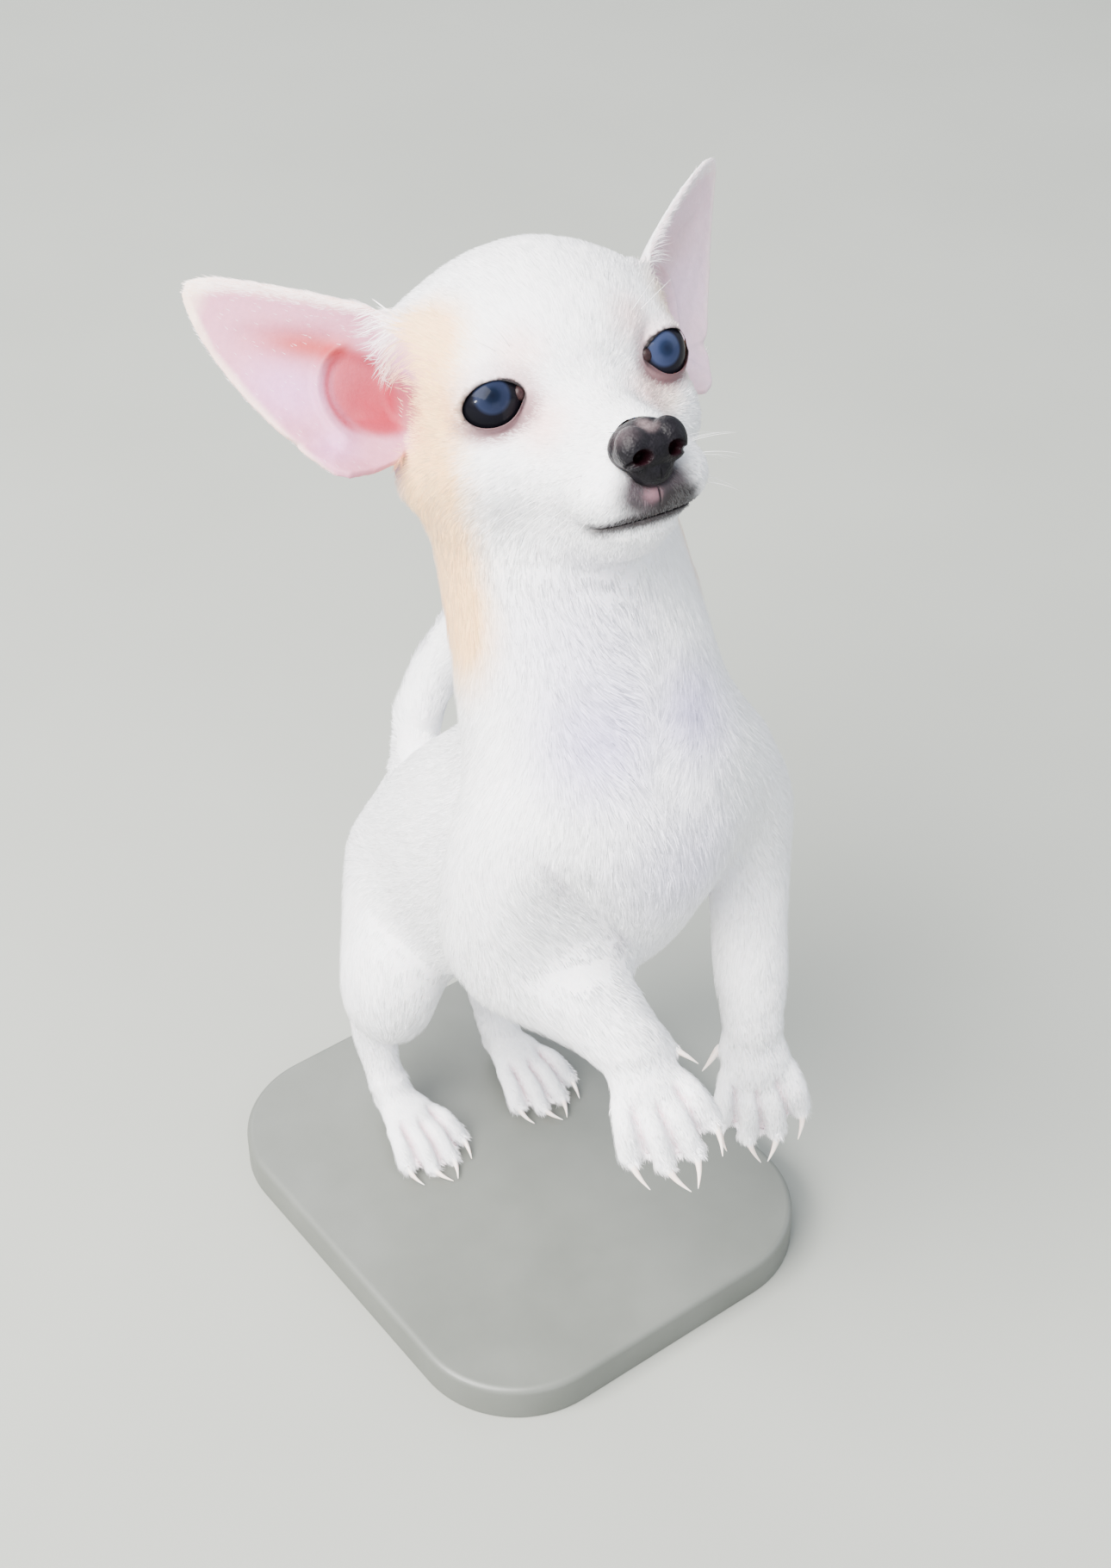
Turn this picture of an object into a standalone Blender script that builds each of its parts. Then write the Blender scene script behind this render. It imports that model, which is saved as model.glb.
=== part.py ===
"""A chihuahua puppy, life size, rearing on its hind legs on a plain display base.

The dog faces -Y with its own left side at +X, and +Z is up. Shapes are modelled in
millimetres above the base's top and set to metres when each part is finished.
The flesh is modelled whole from lofted and rounded forms, fused and smoothed,
then parted by thin slabs. Ears, eyes, nose, claws and base are their own solids.
"""
import math

import bmesh
import bpy
from mathutils import Euler, Matrix, Vector

# Sizes shared by all parts, in millimetres
MM = 0.001
GAP = 0.3
BASE_SIZE = (104.0, 124.0, 10.0)
BASE_CORNER = 26.0
BASE_EDGE = 1.6
BASE_CENTRE = (0.0, -6.0)
VOXEL_BODY = 1.2
VOXEL_FINE = 0.62
BODY_SMOOTH = 20
FINE_SMOOTH = 3
RING_SIDES = 20
SPLINE_STEPS = 5
CAP_RINGS = 4

# The head's own frame: origin midway between the eyes, x to its left, y back, z up
HEAD_ORIGIN = Vector((6.5, -21.3, 230.5))
HEAD_LIFT = math.radians(-26.6)
HEAD_TILT = math.radians(-1.1)
HEAD_TURN = math.radians(-9.1)
CLAW_CLEAR = 0.35
EYE_RADIUS = 7.5
EYE_CENTRE = (17.3, 5.2, 0.4)
EYE_SHIFT = Vector((0.7, 0.0, 0.0))
EYE_TURN = math.radians(14.0)
EYE_OPENING = (6.0, 4.6)
LID_RADIUS = 8.9
LID_BACK = 2.0
NOSE_CENTRE = (-0.6, -25.0, -12.0)
NOSE_RADII = (7.5, 5.2, 6.2)
EAR_ROOT = (25.3, 26.3, 5.5)
EAR_AXIS = {1: (36.6, 18.3, 23.6), -1: (30.5, 23.7, 26.5)}
EAR_FACE = {1: (0.55, -0.76, -0.33), -1: (0.59, -0.8, 0.12)}
EAR_LENGTH = 47.0
EAR_THICK = 1.7
# The ear from root to tip: place along it, leather to the front and rear, curl radius
EAR_OUTLINE = (
    (-0.14, 8.0, 15.0, 17.0, 0.0),
    (0.0, 16.5, 25.5, 18.5, 0.0),
    (0.13, 14.6, 24.4, 20.0, 0.0),
    (0.32, 11.4, 20.6, 22.0, 0.0),
    (0.55, 8.8, 16.0, 25.0, 0.0),
    (0.77, 6.2, 10.6, 28.0, 0.0),
    (0.92, 3.9, 5.6, 30.0, 0.0),
    (1.0, 1.4, 1.6, 30.0, 0.0),
)

# Triangles kept in the whole skin before it is parted
WHOLE_BUDGET = 60000
# Triangles kept in each part of the flesh after it is parted
BUDGET = {
    "head": 2700,
    "neck": 560,
    "torso": 1300,
    "tail": 340,
    "foreleg": 620,
    "forepaw": 700,
    "hindleg": 620,
    "hindpaw": 580,
}

# Colour, roughness and metallic of each finish
FUR = ((0.86, 0.84, 0.81), 0.85, 0.0)
EAR_SKIN = ((0.83, 0.62, 0.58), 0.7, 0.0)
EYE_DARK = ((0.012, 0.012, 0.016), 0.06, 0.0)
NOSE_DARK = ((0.035, 0.032, 0.034), 0.4, 0.0)
CLAW_PALE = ((0.8, 0.66, 0.58), 0.35, 0.0)
BASE_PAINT = ((0.2, 0.21, 0.2), 0.45, 0.0)


def frame(origin, x_axis, y_axis, z_axis):
    """A matrix that takes local axes to the given ones and the origin to a point."""
    turned = Matrix((x_axis, y_axis, z_axis)).transposed().to_4x4()
    return Matrix.Translation(origin) @ turned


def aim(origin, forward, up):
    """A frame whose z axis runs forward and whose y axis lies near up."""
    z_axis = Vector(forward).normalized()
    x_axis = Vector(up).cross(z_axis).normalized()
    return frame(Vector(origin), x_axis, z_axis.cross(x_axis), z_axis)


TURN = Matrix.Rotation(HEAD_TURN, 4, "Z")
TILT = Matrix.Rotation(HEAD_TILT, 4, "Y")
LIFT = Matrix.Rotation(HEAD_LIFT, 4, "X")
HEAD = Matrix.Translation(HEAD_ORIGIN) @ TURN @ LIFT @ TILT
WORLD = Matrix.Identity(4)


def mirror(point, side):
    """The point for the dog's left when side is 1 and for its right when side is -1."""
    return Vector((point[0] * side, point[1], point[2]))


def spline(stations, steps):
    """Catmull-Rom points through the stations, which hold place and radii."""
    count = len(stations)
    rows = []
    for i in range(count - 1):
        near = [stations[min(max(i + k, 0), count - 1)] for k in (-1, 0, 1, 2)]
        for step in range(steps):
            t = step / steps
            weights = (
                -0.5 * t + t * t - 0.5 * t**3,
                1 - 2.5 * t * t + 1.5 * t**3,
                0.5 * t + 2 * t * t - 1.5 * t**3,
                -0.5 * t * t + 0.5 * t**3,
            )
            row = [sum(w * p[j] for w, p in zip(weights, near)) for j in range(5)]
            rows.append(row)
    rows.append(list(stations[-1]))
    return rows


def capped(rows, caps):
    """Adds shrinking rings at both ends, so that a loft ends in a round cap."""
    first = Vector(rows[0][:3]) - Vector(rows[1][:3])
    last = Vector(rows[-1][:3]) - Vector(rows[-2][:3])
    heads, tails = [], []
    for k in range(caps, 0, -1):
        angle = 0.5 * math.pi * k / (caps + 0.5)
        for row, way, ends in ((rows[0], first, heads), (rows[-1], last, tails)):
            out = way.normalized() * min(row[3], row[4]) * math.sin(angle)
            place = Vector(row[:3]) + out
            shrink = math.cos(angle)
            ends.append([*place, row[3] * shrink, row[4] * shrink])
    return heads + rows + tails[::-1]


def loft(mesh, stations, side=(1, 0, 0), place=WORLD, sides=RING_SIDES, coarse=False):
    """Adds a closed loft: each station is x, y, z, half width along side, half depth."""
    rows = [list(s) if len(s) == 5 else [*s, s[3]] for s in stations]
    rows = capped(rows, 1) if coarse else capped(spline(rows, SPLINE_STEPS), CAP_RINGS)
    centres = [Vector(row[:3]) for row in rows]
    rings = []
    for i, row in enumerate(rows):
        way = centres[min(i + 1, len(rows) - 1)] - centres[max(i - 1, 0)]
        depth = way.cross(Vector(side)).normalized()
        width = depth.cross(way).normalized()
        spot = frame(centres[i], width, depth, way.normalized())
        size = Matrix.Diagonal((row[3], row[4], 1.0, 1.0))
        ring = bmesh.ops.create_circle(
            mesh, segments=sides, radius=1.0, matrix=place @ spot @ size
        )
        rings.append(ring["verts"])
    edges = [list({e for v in ring for e in v.link_edges}) for ring in rings]
    for a, b in zip(edges, edges[1:]):
        bmesh.ops.bridge_loops(mesh, edges=a + b)
    for ring in (rings[0], rings[-1]):
        bmesh.ops.contextual_create(mesh, geom=list({e for v in ring for e in v.link_edges}))


def ball(mesh, centre, radii, place=WORLD, turn=(0.0, 0.0, 0.0), fine=16):
    """Adds an ellipsoid with the given radii, turned by Euler angles in degrees."""
    angles = Euler([math.radians(a) for a in turn])
    spin = angles.to_matrix().to_4x4()
    size = Matrix.Diagonal((*radii, 1.0))
    bmesh.ops.create_uvsphere(
        mesh,
        u_segments=fine,
        v_segments=fine // 2 + 1,
        radius=1.0,
        matrix=place @ Matrix.Translation(centre) @ spin @ size,
    )


def solid(name, mesh, collection=None):
    """Turns a bmesh into an object, with its normals facing out."""
    bmesh.ops.recalc_face_normals(mesh, faces=mesh.faces[:])
    data = bpy.data.meshes.new(name)
    mesh.to_mesh(data)
    mesh.free()
    made = bpy.data.objects.new(name, data)
    (collection or bpy.context.scene.collection).objects.link(made)
    return made


def apply_modifiers(obj):
    """Bakes the object's modifiers into its mesh."""
    graph = bpy.context.evaluated_depsgraph_get()
    baked = bpy.data.meshes.new_from_object(obj.evaluated_get(graph))
    old = obj.data
    obj.modifiers.clear()
    obj.data = baked
    bpy.data.meshes.remove(old)


def fuse(obj, voxel, smooth):
    """Fuses the object's overlapping shells into one skin and smooths it."""
    remesh = obj.modifiers.new("fuse", "REMESH")
    remesh.mode = "VOXEL"
    remesh.voxel_size = voxel
    soften = obj.modifiers.new("soften", "SMOOTH")
    soften.factor = 0.5
    soften.iterations = smooth
    apply_modifiers(obj)


def thin_out(obj, triangles):
    """Reduces the object to about this many triangles."""
    faces = sum(len(p.vertices) - 2 for p in obj.data.polygons)
    if faces <= triangles:
        return
    reduce = obj.modifiers.new("reduce", "DECIMATE")
    reduce.ratio = triangles / faces
    reduce.use_collapse_triangulate = True
    apply_modifiers(obj)


def combine(obj, other, operation, solver="EXACT"):
    """Applies a Boolean of the object with another."""
    join = obj.modifiers.new("join", "BOOLEAN")
    join.operation = operation
    join.solver = solver
    join.object = other
    apply_modifiers(obj)


def subtract(obj, cutter, solver="EXACT"):
    """Cuts one object's shape from another and removes the cutter."""
    combine(obj, cutter, "DIFFERENCE", solver)
    drop(cutter)


def drop(obj):
    """Removes an object and its mesh."""
    data = obj.data
    bpy.data.objects.remove(obj)
    bpy.data.meshes.remove(data)


def islands(mesh):
    """The connected groups of faces of a bmesh, largest first."""
    left = set(mesh.faces)
    groups = []
    while left:
        seed = left.pop()
        group, queue = [seed], [seed]
        while queue:
            face = queue.pop()
            for edge in face.edges:
                for other in edge.link_faces:
                    if other in left:
                        left.remove(other)
                        group.append(other)
                        queue.append(other)
        groups.append(group)
    return sorted(groups, key=len, reverse=True)


def keep_faces(obj, wanted, name):
    """A copy of the object that holds only the wanted group of its faces."""
    mesh = bmesh.new()
    mesh.from_mesh(obj.data)
    groups = islands(mesh)
    lost = [f for i, g in enumerate(groups) if i != wanted for f in g]
    bmesh.ops.delete(mesh, geom=lost, context="FACES")
    return solid(name, mesh)


def volume_of(faces):
    """The volume enclosed by a closed group of faces."""
    total = 0.0
    for face in faces:
        corners = [v.co for v in face.verts]
        for a, b in zip(corners[1:], corners[2:]):
            total += corners[0].dot(a.cross(b)) / 6.0
    return total


def slab(spot, size, low, high):
    """A box across the z axis of a frame, from low to high along it."""
    mesh = bmesh.new()
    shape = Matrix.Diagonal((size[0], size[1], high - low, 1.0))
    middle = Matrix.Translation((0, 0, (low + high) / 2))
    bmesh.ops.create_cube(mesh, size=1.0, matrix=spot @ middle @ shape)
    return solid("slab", mesh)


def ranked_pieces(body, spot):
    """Each loose piece of the body: its rank, volume and mean place in the frame."""
    mesh = bmesh.new()
    mesh.from_mesh(body.data)
    inverse = spot.inverted()
    found = []
    for i, group in enumerate(islands(mesh)):
        middle = sum((f.calc_center_median() for f in group), Vector()) / len(group)
        found.append((i, volume_of(group), inverse @ middle))
    mesh.free()
    found.sort(key=lambda piece: -piece[1])
    return found


def part_off(body, spot, size, name):
    """Cuts the body with a thin slab; the piece beyond it, along z, is the new part."""
    cutter = slab(spot, size, -GAP / 2, GAP / 2)
    combine(body, cutter, "DIFFERENCE", "MANIFOLD")
    drop(cutter)
    new, rest = ranked_pieces(body, spot)[:2]
    if new[2].z < rest[2].z:
        new, rest = rest, new
    piece = keep_faces(body, new[0], name)
    remains = keep_faces(body, rest[0], body.name)
    drop(body)
    return piece, remains


def carve_off(body, spot, size, name):
    """Makes the body's share of a box the new part and clears a gap around the box."""
    piece = bpy.data.objects.new(name, body.data.copy())
    bpy.context.scene.collection.objects.link(piece)
    inside = slab(spot, size, 0, LIMB_REACH)
    combine(piece, inside, "INTERSECT", "MANIFOLD")
    drop(inside)
    wider = (size[0] + 2 * GAP, size[1] + 2 * GAP)
    around = slab(spot, wider, -GAP, LIMB_REACH + GAP)
    combine(body, around, "DIFFERENCE", "MANIFOLD")
    drop(around)
    kept = []
    for obj in (piece, body):
        largest = ranked_pieces(obj, spot)[0]
        kept.append(keep_faces(obj, largest[0], obj.name))
        drop(obj)
    return kept


# The trunk runs from the rump to the shoulders and rises toward the front
TRUNK = (
    (6, 40, 77, 14, 14),
    (5, 31, 79, 19, 20),
    (2, 14, 88, 24, 27),
    (0.5, -8, 104, 27, 32),
    (1, -27, 122, 28, 32),
    (1.5, -41, 139, 26, 26),
)
NECK = (
    (2, -40, 142, 31, 26),
    (3.5, -32, 157, 29, 25),
    (7, -18, 179, 26.5, 24.5),
    (9, -6, 200, 25, 24),
)
TAIL = (
    (7, 41, 85, 7.5, 7.5),
    (10.5, 47, 99, 6.8, 6.8),
    (14.5, 43, 118, 6.4, 6.4),
    (17, 35, 136, 5.8, 5.8),
    (16.5, 26, 150, 4.8, 4.8),
    (14, 18, 159, 3.6, 3.6),
)
# Limbs are listed for each side as the photo shows them
FORELEG = {
    1: (
        (22, -42, 149, 14, 15),
        (34, -43, 128, 11.5, 13),
        (35, -46, 110, 9.5, 10.5),
        (28, -57, 90, 8.6, 9),
        (25, -62, 79, 8, 7.6),
    ),
    -1: (
        (-20, -40, 146, 14, 16),
        (-26, -38, 126, 12, 14.5),
        (-26, -39, 112, 11.5, 12.5),
        (-17.3, -56.5, 106.5, 10.9, 11.2),
        (-15, -68, 102, 8.9, 8.8),
    ),
}
FOREPAW = {
    1: ((24.5, -63.5, 74), (-0.25, -0.55, -0.80), (-0.35, -0.75, 0.56)),
    -1: ((-15.5, -71, 98.5), (-0.15, -0.90, -0.42), (-0.3, -0.4, 0.87)),
}
HINDLEG = {
    1: (
        (15, 31, 83, 13, 18),
        (22, 20, 73, 13.5, 18),
        (26, 9, 63, 11, 12.5),
        (22, 20, 48, 9.5, 10.5),
        (18, 32, 34, 6.5, 7.5),
        (18, 31, 20, 5.8, 6.4),
        (18, 25, 10, 5.8, 5.6),
    ),
    -1: (
        (-5, 31, 82, 13, 18),
        (-14, 20, 72, 13.5, 18),
        (-24, 9, 64, 12.5, 13.5),
        (-19, 20, 48, 10, 11),
        (-16, 32, 34, 6.5, 7.5),
        (-16, 31, 20, 5.8, 6.4),
        (-16, 25, 10, 5.8, 5.6),
    ),
}
# Where each leg is parted from the trunk: the way to the leg and a point of the cut
SHOULDER_CUT = {
    1: ((0.93, -0.36, 0.0), (22.5, -42.0, 112.0)),
    -1: ((-0.85, -0.5, 0.0), (-20.5, -42.0, 112.0)),
}
HIP_CUT = {
    1: ((0.9, 0.35, -0.2), (17.0, 26.0, 36.0)),
    -1: ((-0.9, 0.35, -0.2), (-6.0, 26.0, 36.0)),
}
# Width and height of the boxes that hold the legs, and how far they reach outward
SHOULDER_BOX = (62.0, 108.0)
HIP_BOX = (70.0, 130.0)
LIMB_REACH = 60.0
HINDPAW = {1: (18, 21, 6.6), -1: (-16, 21, 6.6)}
# Where thin slabs part the rest: a point, the way to the smaller part, width and height
NAPE_CUT = ((0, 24, -24), (0, -0.5, 0.866), (80, 80))
RUMP_CUT = ((9.3, 47, 101), (0.12, 0.4, 0.91), (24, 20))
WITHERS_CUT = ((3.5, -33, 155), (0.1, 0.05, 0.99), (84, 90))
WRIST_BACK = 5.5
WRIST_SIZE = (26, 26)
ANKLE_SPOT = (27.0, 13.5)
ANKLE_WAY = (0, -0.35, -1)
ANKLE_SIZE = (20, 26)
# A block of ground that trims the hind soles flat
GROUND = (200, 200, 40)
TOE_SPREAD = (-1.5, -0.5, 0.5, 1.5)


def toe(mesh, root, way, up, length, radius):
    """One toe: it leaves the paw, arches over its knuckle and ends in a round tip."""
    way, up = Vector(way).normalized(), Vector(up).normalized()
    knuckle = root + way * length * 0.5 + up * radius * 0.45
    tip = root + way * length - up * radius * 0.35
    rows = [(*root, radius, radius * 0.95), (*knuckle, radius, radius)]
    rows.append((*tip, radius * 0.92, radius * 0.9))
    loft(mesh, rows, side=way.cross(up), sides=14)
    return tip


def claw_curve(tip, way, up, length, radius):
    """Stations of a claw that leaves a toe tip and hooks down to a point."""
    rows = []
    for k, shrink in enumerate((1.0, 0.92, 0.72, 0.42, 0.12)):
        t = k / 4
        spot = tip + way * length * (t - 0.25) - up * length * 0.42 * t * t
        spot.z = max(spot.z, radius * shrink + CLAW_CLEAR)
        rows.append((*spot, radius * shrink * 0.8, radius * shrink))
    return rows


def paw(mesh, claws, label, spot, scale, thumb):
    """A paw in its own frame: x across, y to the back of the hand, z to the toes."""
    across, back, ahead = (spot.col[i].to_3d() for i in range(3))
    origin = spot.translation
    ball(mesh, (0, 0.6, 3.0 * scale), (7.6 * scale, 4.9 * scale, 8.2 * scale), place=spot)
    ball(mesh, (0, -3.2 * scale, 6.0 * scale), (5.4 * scale, 2.8 * scale, 4.4 * scale), place=spot)
    for number, spread in enumerate(TOE_SPREAD):
        outer = abs(spread) > 1
        fan = spread * math.radians(11.5)
        way = (ahead * math.cos(fan) + across * math.sin(fan)).normalized()
        way = (way - back * 0.18).normalized()
        root = origin + ahead * (6.0 if outer else 7.2) * scale + across * spread * 3.9 * scale
        length = (10.0 if outer else 12.4) * scale
        tip = toe(mesh, root, way, back, length, 3.0 * scale)
        nail = (way - back * 0.1).normalized()
        rise = nail.cross(across).cross(nail).normalized()
        rise = rise if rise.dot(back) > 0 else -rise
        start = tip + way * 1.6 * scale + back * 0.5 * scale
        curve = claw_curve(start, nail, rise, 7.4 * scale, 1.25 * scale)
        claws[f"claw_{label}_{number + 2}"] = (curve, across)
    if thumb:
        way = (ahead * 0.75 + across * thumb * 0.6 + back * 0.1).normalized()
        root = origin - ahead * 3.0 * scale + across * thumb * 5.2 * scale + back * 0.2 * scale
        tip = toe(mesh, root, way, back, 4.6 * scale, 2.0 * scale)
        curve = claw_curve(tip + way * 0.8, way, back, 6.0 * scale, 1.05 * scale)
        claws[f"claw_{label}_1"] = (curve, across)


def build_flesh():
    """Trunk, neck, head, tail, legs and paws as one smooth skin, and the claws' curves."""
    rough = bmesh.new()
    loft(rough, TRUNK, sides=32)
    loft(rough, NECK, sides=28)
    loft(rough, TAIL)
    for side in (1, -1):
        loft(rough, FORELEG[side])
        loft(rough, HINDLEG[side])
    ball(rough, (1, -39, 126), (20, 20, 24), turn=(35, 0, 0))
    ball(rough, (3, -15, 150), (20, 15, 17))
    head_forms(rough)
    body = solid("body", rough)
    fuse(body, VOXEL_BODY, BODY_SMOOTH)
    fine = bmesh.new()
    face_forms(fine)
    claws = {}
    for side, word in ((1, "left"), (-1, "right")):
        origin, ahead, back = FOREPAW[side]
        paw(fine, claws, f"fore_{word}", aim(origin, ahead, back), 1.06, thumb=-1 if side > 0 else 1)
        heel = Vector(HINDPAW[side])
        paw(fine, claws, f"hind_{word}", aim(heel, (0.0, -1.0, -0.12), (0, 0, 1)), 0.92, thumb=0)
        instep = ((*heel + Vector((0, 6, -1)), 4.6, 3.6), (*heel + Vector((0, -3, 0)), 6, 4.6))
        loft(fine, instep, sides=16)
    fine.from_mesh(body.data)
    drop(body)
    body = solid("body", fine)
    fuse(body, VOXEL_FINE, FINE_SMOOTH)
    thin_out(body, WHOLE_BUDGET)
    return body, claws


def head_forms(mesh):
    """The domed skull, cheeks, muzzle and jaw, in the head's own frame."""
    ball(mesh, (0, 21, 3), (28, 28, 24.4), place=HEAD, fine=32)
    ball(mesh, (0, 5, 5), (19, 12, 14), place=HEAD, fine=24)
    ball(mesh, (0, 7, -9), (18.5, 17, 14), place=HEAD, fine=24)
    ball(mesh, (0, 26, -13), (24, 20, 18), place=HEAD, fine=24)
    muzzle = ((0, 6, -15, 17, 14), (0, -5, -17, 15.5, 13), (0, -14, -18, 14, 11.5))
    loft(mesh, muzzle, place=HEAD, sides=28)
    jaw = ((0, 14, -23, 18, 11), (0, -1, -27, 13, 9), (0, -9, -28, 9.5, 7))
    loft(mesh, jaw, place=HEAD, sides=24)
    for side in (1, -1):
        ball(mesh, mirror((16, 14, -12), side), (13, 17, 14), place=HEAD, fine=24)
        ball(mesh, mirror((20, 18, 8), side), (9.5, 12, 12), place=HEAD)
        ball(mesh, mirror((23.5, 28, 3), side), (7, 9, 11), place=HEAD)
        ball(mesh, mirror((20, 28, 15), side), (8.5, 8, 6.5), place=HEAD, turn=(0, 35 * side, 0))
        ball(mesh, mirror((17.5, 26, -13), side), (14, 14, 13), place=HEAD)
        ball(mesh, mirror((17.5, 10, 0), side), (9, 8.5, 9), place=HEAD)


def face_forms(mesh):
    """Brows, bridge, upper lips and lids, in the head's own frame."""
    bridge = ((0, 2, -3, 9, 5), (0, -10, -7, 7, 4.5), (0, -20, -10, 6.5, 4.4))
    loft(mesh, bridge, place=HEAD)
    for side in (1, -1):
        ball(mesh, mirror((15, 6, 6), side), (9, 7, 5), place=HEAD, turn=(0, 0, -20 * side))
        ball(mesh, mirror((7, -15.5, -19.5), side), (7.6, 9, 7), place=HEAD)
        lid_ring(mesh, side)


def eye_frame(side):
    """The eye's frame: z looks out of the pupil, y is up the face."""
    look = Vector((math.sin(EYE_TURN) * side, -math.cos(EYE_TURN), 0.0))
    return HEAD @ aim(mirror(EYE_CENTRE, side) + EYE_SHIFT, look, (0.0, 0.0, 1.0))


def lid_ring(mesh, side):
    """The rim of both lids, a raised ring that the eyeball's socket is cut through."""
    wide, high = EYE_OPENING[0] + 1.4, EYE_OPENING[1] + 1.4
    depth = math.sqrt(EYE_RADIUS**2 - EYE_OPENING[0] ** 2) - 0.8
    spot = eye_frame(side)
    ball(mesh, (0, 0, -LID_BACK), (LID_RADIUS, LID_RADIUS + 0.4, LID_RADIUS), place=spot, fine=24)
    turns = 18
    for k in range(turns):
        angle = 2 * math.pi * k / turns
        middle = (wide * math.cos(angle), high * math.sin(angle), depth)
        ball(mesh, middle, (1.4, 1.4, 1.4), place=spot, fine=8)


def eyeball(name, side, grow):
    """An eyeball, or with grow its slightly larger socket."""
    mesh = bmesh.new()
    size = EYE_RADIUS + grow
    ball(mesh, (0, 0, 0), (size, size, size), place=eye_frame(side), fine=18)
    return solid(name, mesh)


def nose_pad(name, grow):
    """The nose leather, rounded over the top and narrower below, with two nostrils."""
    mesh = bmesh.new()
    x, y, z = (r + grow for r in NOSE_RADII)
    middle = Vector(NOSE_CENTRE)
    below = middle + Vector((0, 1.0, -3.0))
    behind = middle + Vector((0, 4.0, 0.5))
    ball(mesh, middle, (x, y, z * 0.86), place=HEAD, fine=20)
    ball(mesh, below, (x * 0.6, y * 0.8, z * 0.7), place=HEAD, fine=16)
    ball(mesh, behind, (x * 0.72, y, z * 0.75), place=HEAD, fine=16)
    made = solid(name, mesh)
    fuse(made, 0.5, 2)
    thin_out(made, 300)
    return made


def nostrils():
    """Two slanted pits and a short groove cut into the nose leather."""
    mesh = bmesh.new()
    for side in (1, -1):
        pit = (
            (3.8 * side - 0.6, -31.5, -11.8, 1.5, 1.9),
            (3.3 * side - 0.6, -27.5, -12.4, 1.2, 1.6),
            (2.8 * side - 0.6, -25.5, -12.8, 0.8, 1.0),
        )
        loft(mesh, pit, place=HEAD, sides=8, coarse=True)
    return solid("nostrils", mesh)


def mouth_line():
    """A narrow groove along the lips, from one corner round the front to the other."""
    mesh = bmesh.new()
    rows = []
    for k in range(-6, 7):
        t = k / 6
        x = 14.0 * math.sin(t * 1.15)
        y = -22.3 + 14.0 * (1 - math.cos(t * 1.2))
        rows.append((x, y, -25.2 - 0.8 * t * t, 0.45, 1.0))
    loft(mesh, rows, side=(0, 0, 1), place=HEAD, sides=6, coarse=True)
    return solid("mouth", mesh)


def ear_frame(side):
    """The ear's frame: z runs from root to tip and y is the way its cup faces."""
    spot = aim(mirror(EAR_ROOT, side), mirror(EAR_AXIS[side], side), mirror(EAR_FACE[side], side))
    return HEAD @ spot


def ear(name, side, grow):
    """A thin cupped ear whose root wraps into a funnel and sinks into the head."""
    spot = ear_frame(side)
    stations = spline(EAR_OUTLINE, 2)
    rows, cols = len(stations), 9
    mesh = bmesh.new()
    sheets = []
    for sheet in (1, -1):
        grid = []
        for u, front, rear, curl, _ in stations:
            thick = 0.5 * EAR_THICK * (1 - 0.45 * max(u, 0)) + grow
            line = []
            for j in range(cols):
                v = 2 * j / (cols - 1) - 1
                arc = v * (grow + (front if v > 0 else rear))
                angle = arc / curl
                bend = curl - sheet * thick
                x = bend * math.sin(angle) * side
                y = curl - bend * math.cos(angle)
                z = EAR_LENGTH * u - grow
                line.append(mesh.verts.new(spot @ Vector((x, y, z))))
            grid.append(line)
        sheets.append(grid)
    inner, outer = sheets
    for grid in sheets:
        for i in range(rows - 1):
            for j in range(cols - 1):
                quad = (grid[i][j], grid[i][j + 1], grid[i + 1][j + 1], grid[i + 1][j])
                mesh.faces.new(quad[:3])
                mesh.faces.new((quad[0], quad[2], quad[3]))
    rim = [(i, 0) for i in range(rows)]
    rim += [(rows - 1, j) for j in range(1, cols)]
    rim += [(i, cols - 1) for i in range(rows - 2, -1, -1)]
    rim += [(0, j) for j in range(cols - 2, 0, -1)]
    for (a, b), (c, d) in zip(rim, rim[1:] + rim[:1]):
        mesh.faces.new((inner[a][b], inner[c][d], outer[c][d], outer[a][b]))
    return solid(name, mesh)


def claw(name, rows, across, grow):
    """One claw, or with grow the pocket that its root sits in."""
    mesh = bmesh.new()
    fat = [(*r[:3], r[3] + grow, r[4] + grow) for r in rows]
    loft(mesh, fat, side=across, sides=6, coarse=True)
    return solid(name, mesh)


def display_base():
    """A flat plate with round corners and a softened upper edge."""
    width, depth, height = BASE_SIZE
    mesh = bmesh.new()
    shift = Matrix.Translation((*BASE_CENTRE, -GAP - height / 2))
    shape = Matrix.Diagonal((width, depth, height, 1))
    bmesh.ops.create_cube(mesh, size=1.0, matrix=shift @ shape)
    both = {"profile": 0.5, "affect": "EDGES", "material": -1}
    upright = [e for e in mesh.edges if abs((e.verts[0].co - e.verts[1].co).z) > 1]
    bmesh.ops.bevel(mesh, geom=upright, offset=BASE_CORNER, segments=6, **both)
    top = [e for e in mesh.edges if all(v.co.z > -GAP - 0.01 for v in e.verts)]
    bmesh.ops.bevel(mesh, geom=top, offset=BASE_EDGE, segments=2, **both)
    return solid("stand_base", mesh)


def level_soles(obj):
    """Trims whatever of a hind paw would reach below the top of the base."""
    mesh = bmesh.new()
    shape = Matrix.Diagonal((*GROUND, 1))
    below = Matrix.Translation((0, 0, -GROUND[2] / 2))
    bmesh.ops.create_cube(mesh, size=1.0, matrix=below @ shape)
    subtract(obj, solid("ground", mesh), "MANIFOLD")


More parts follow.
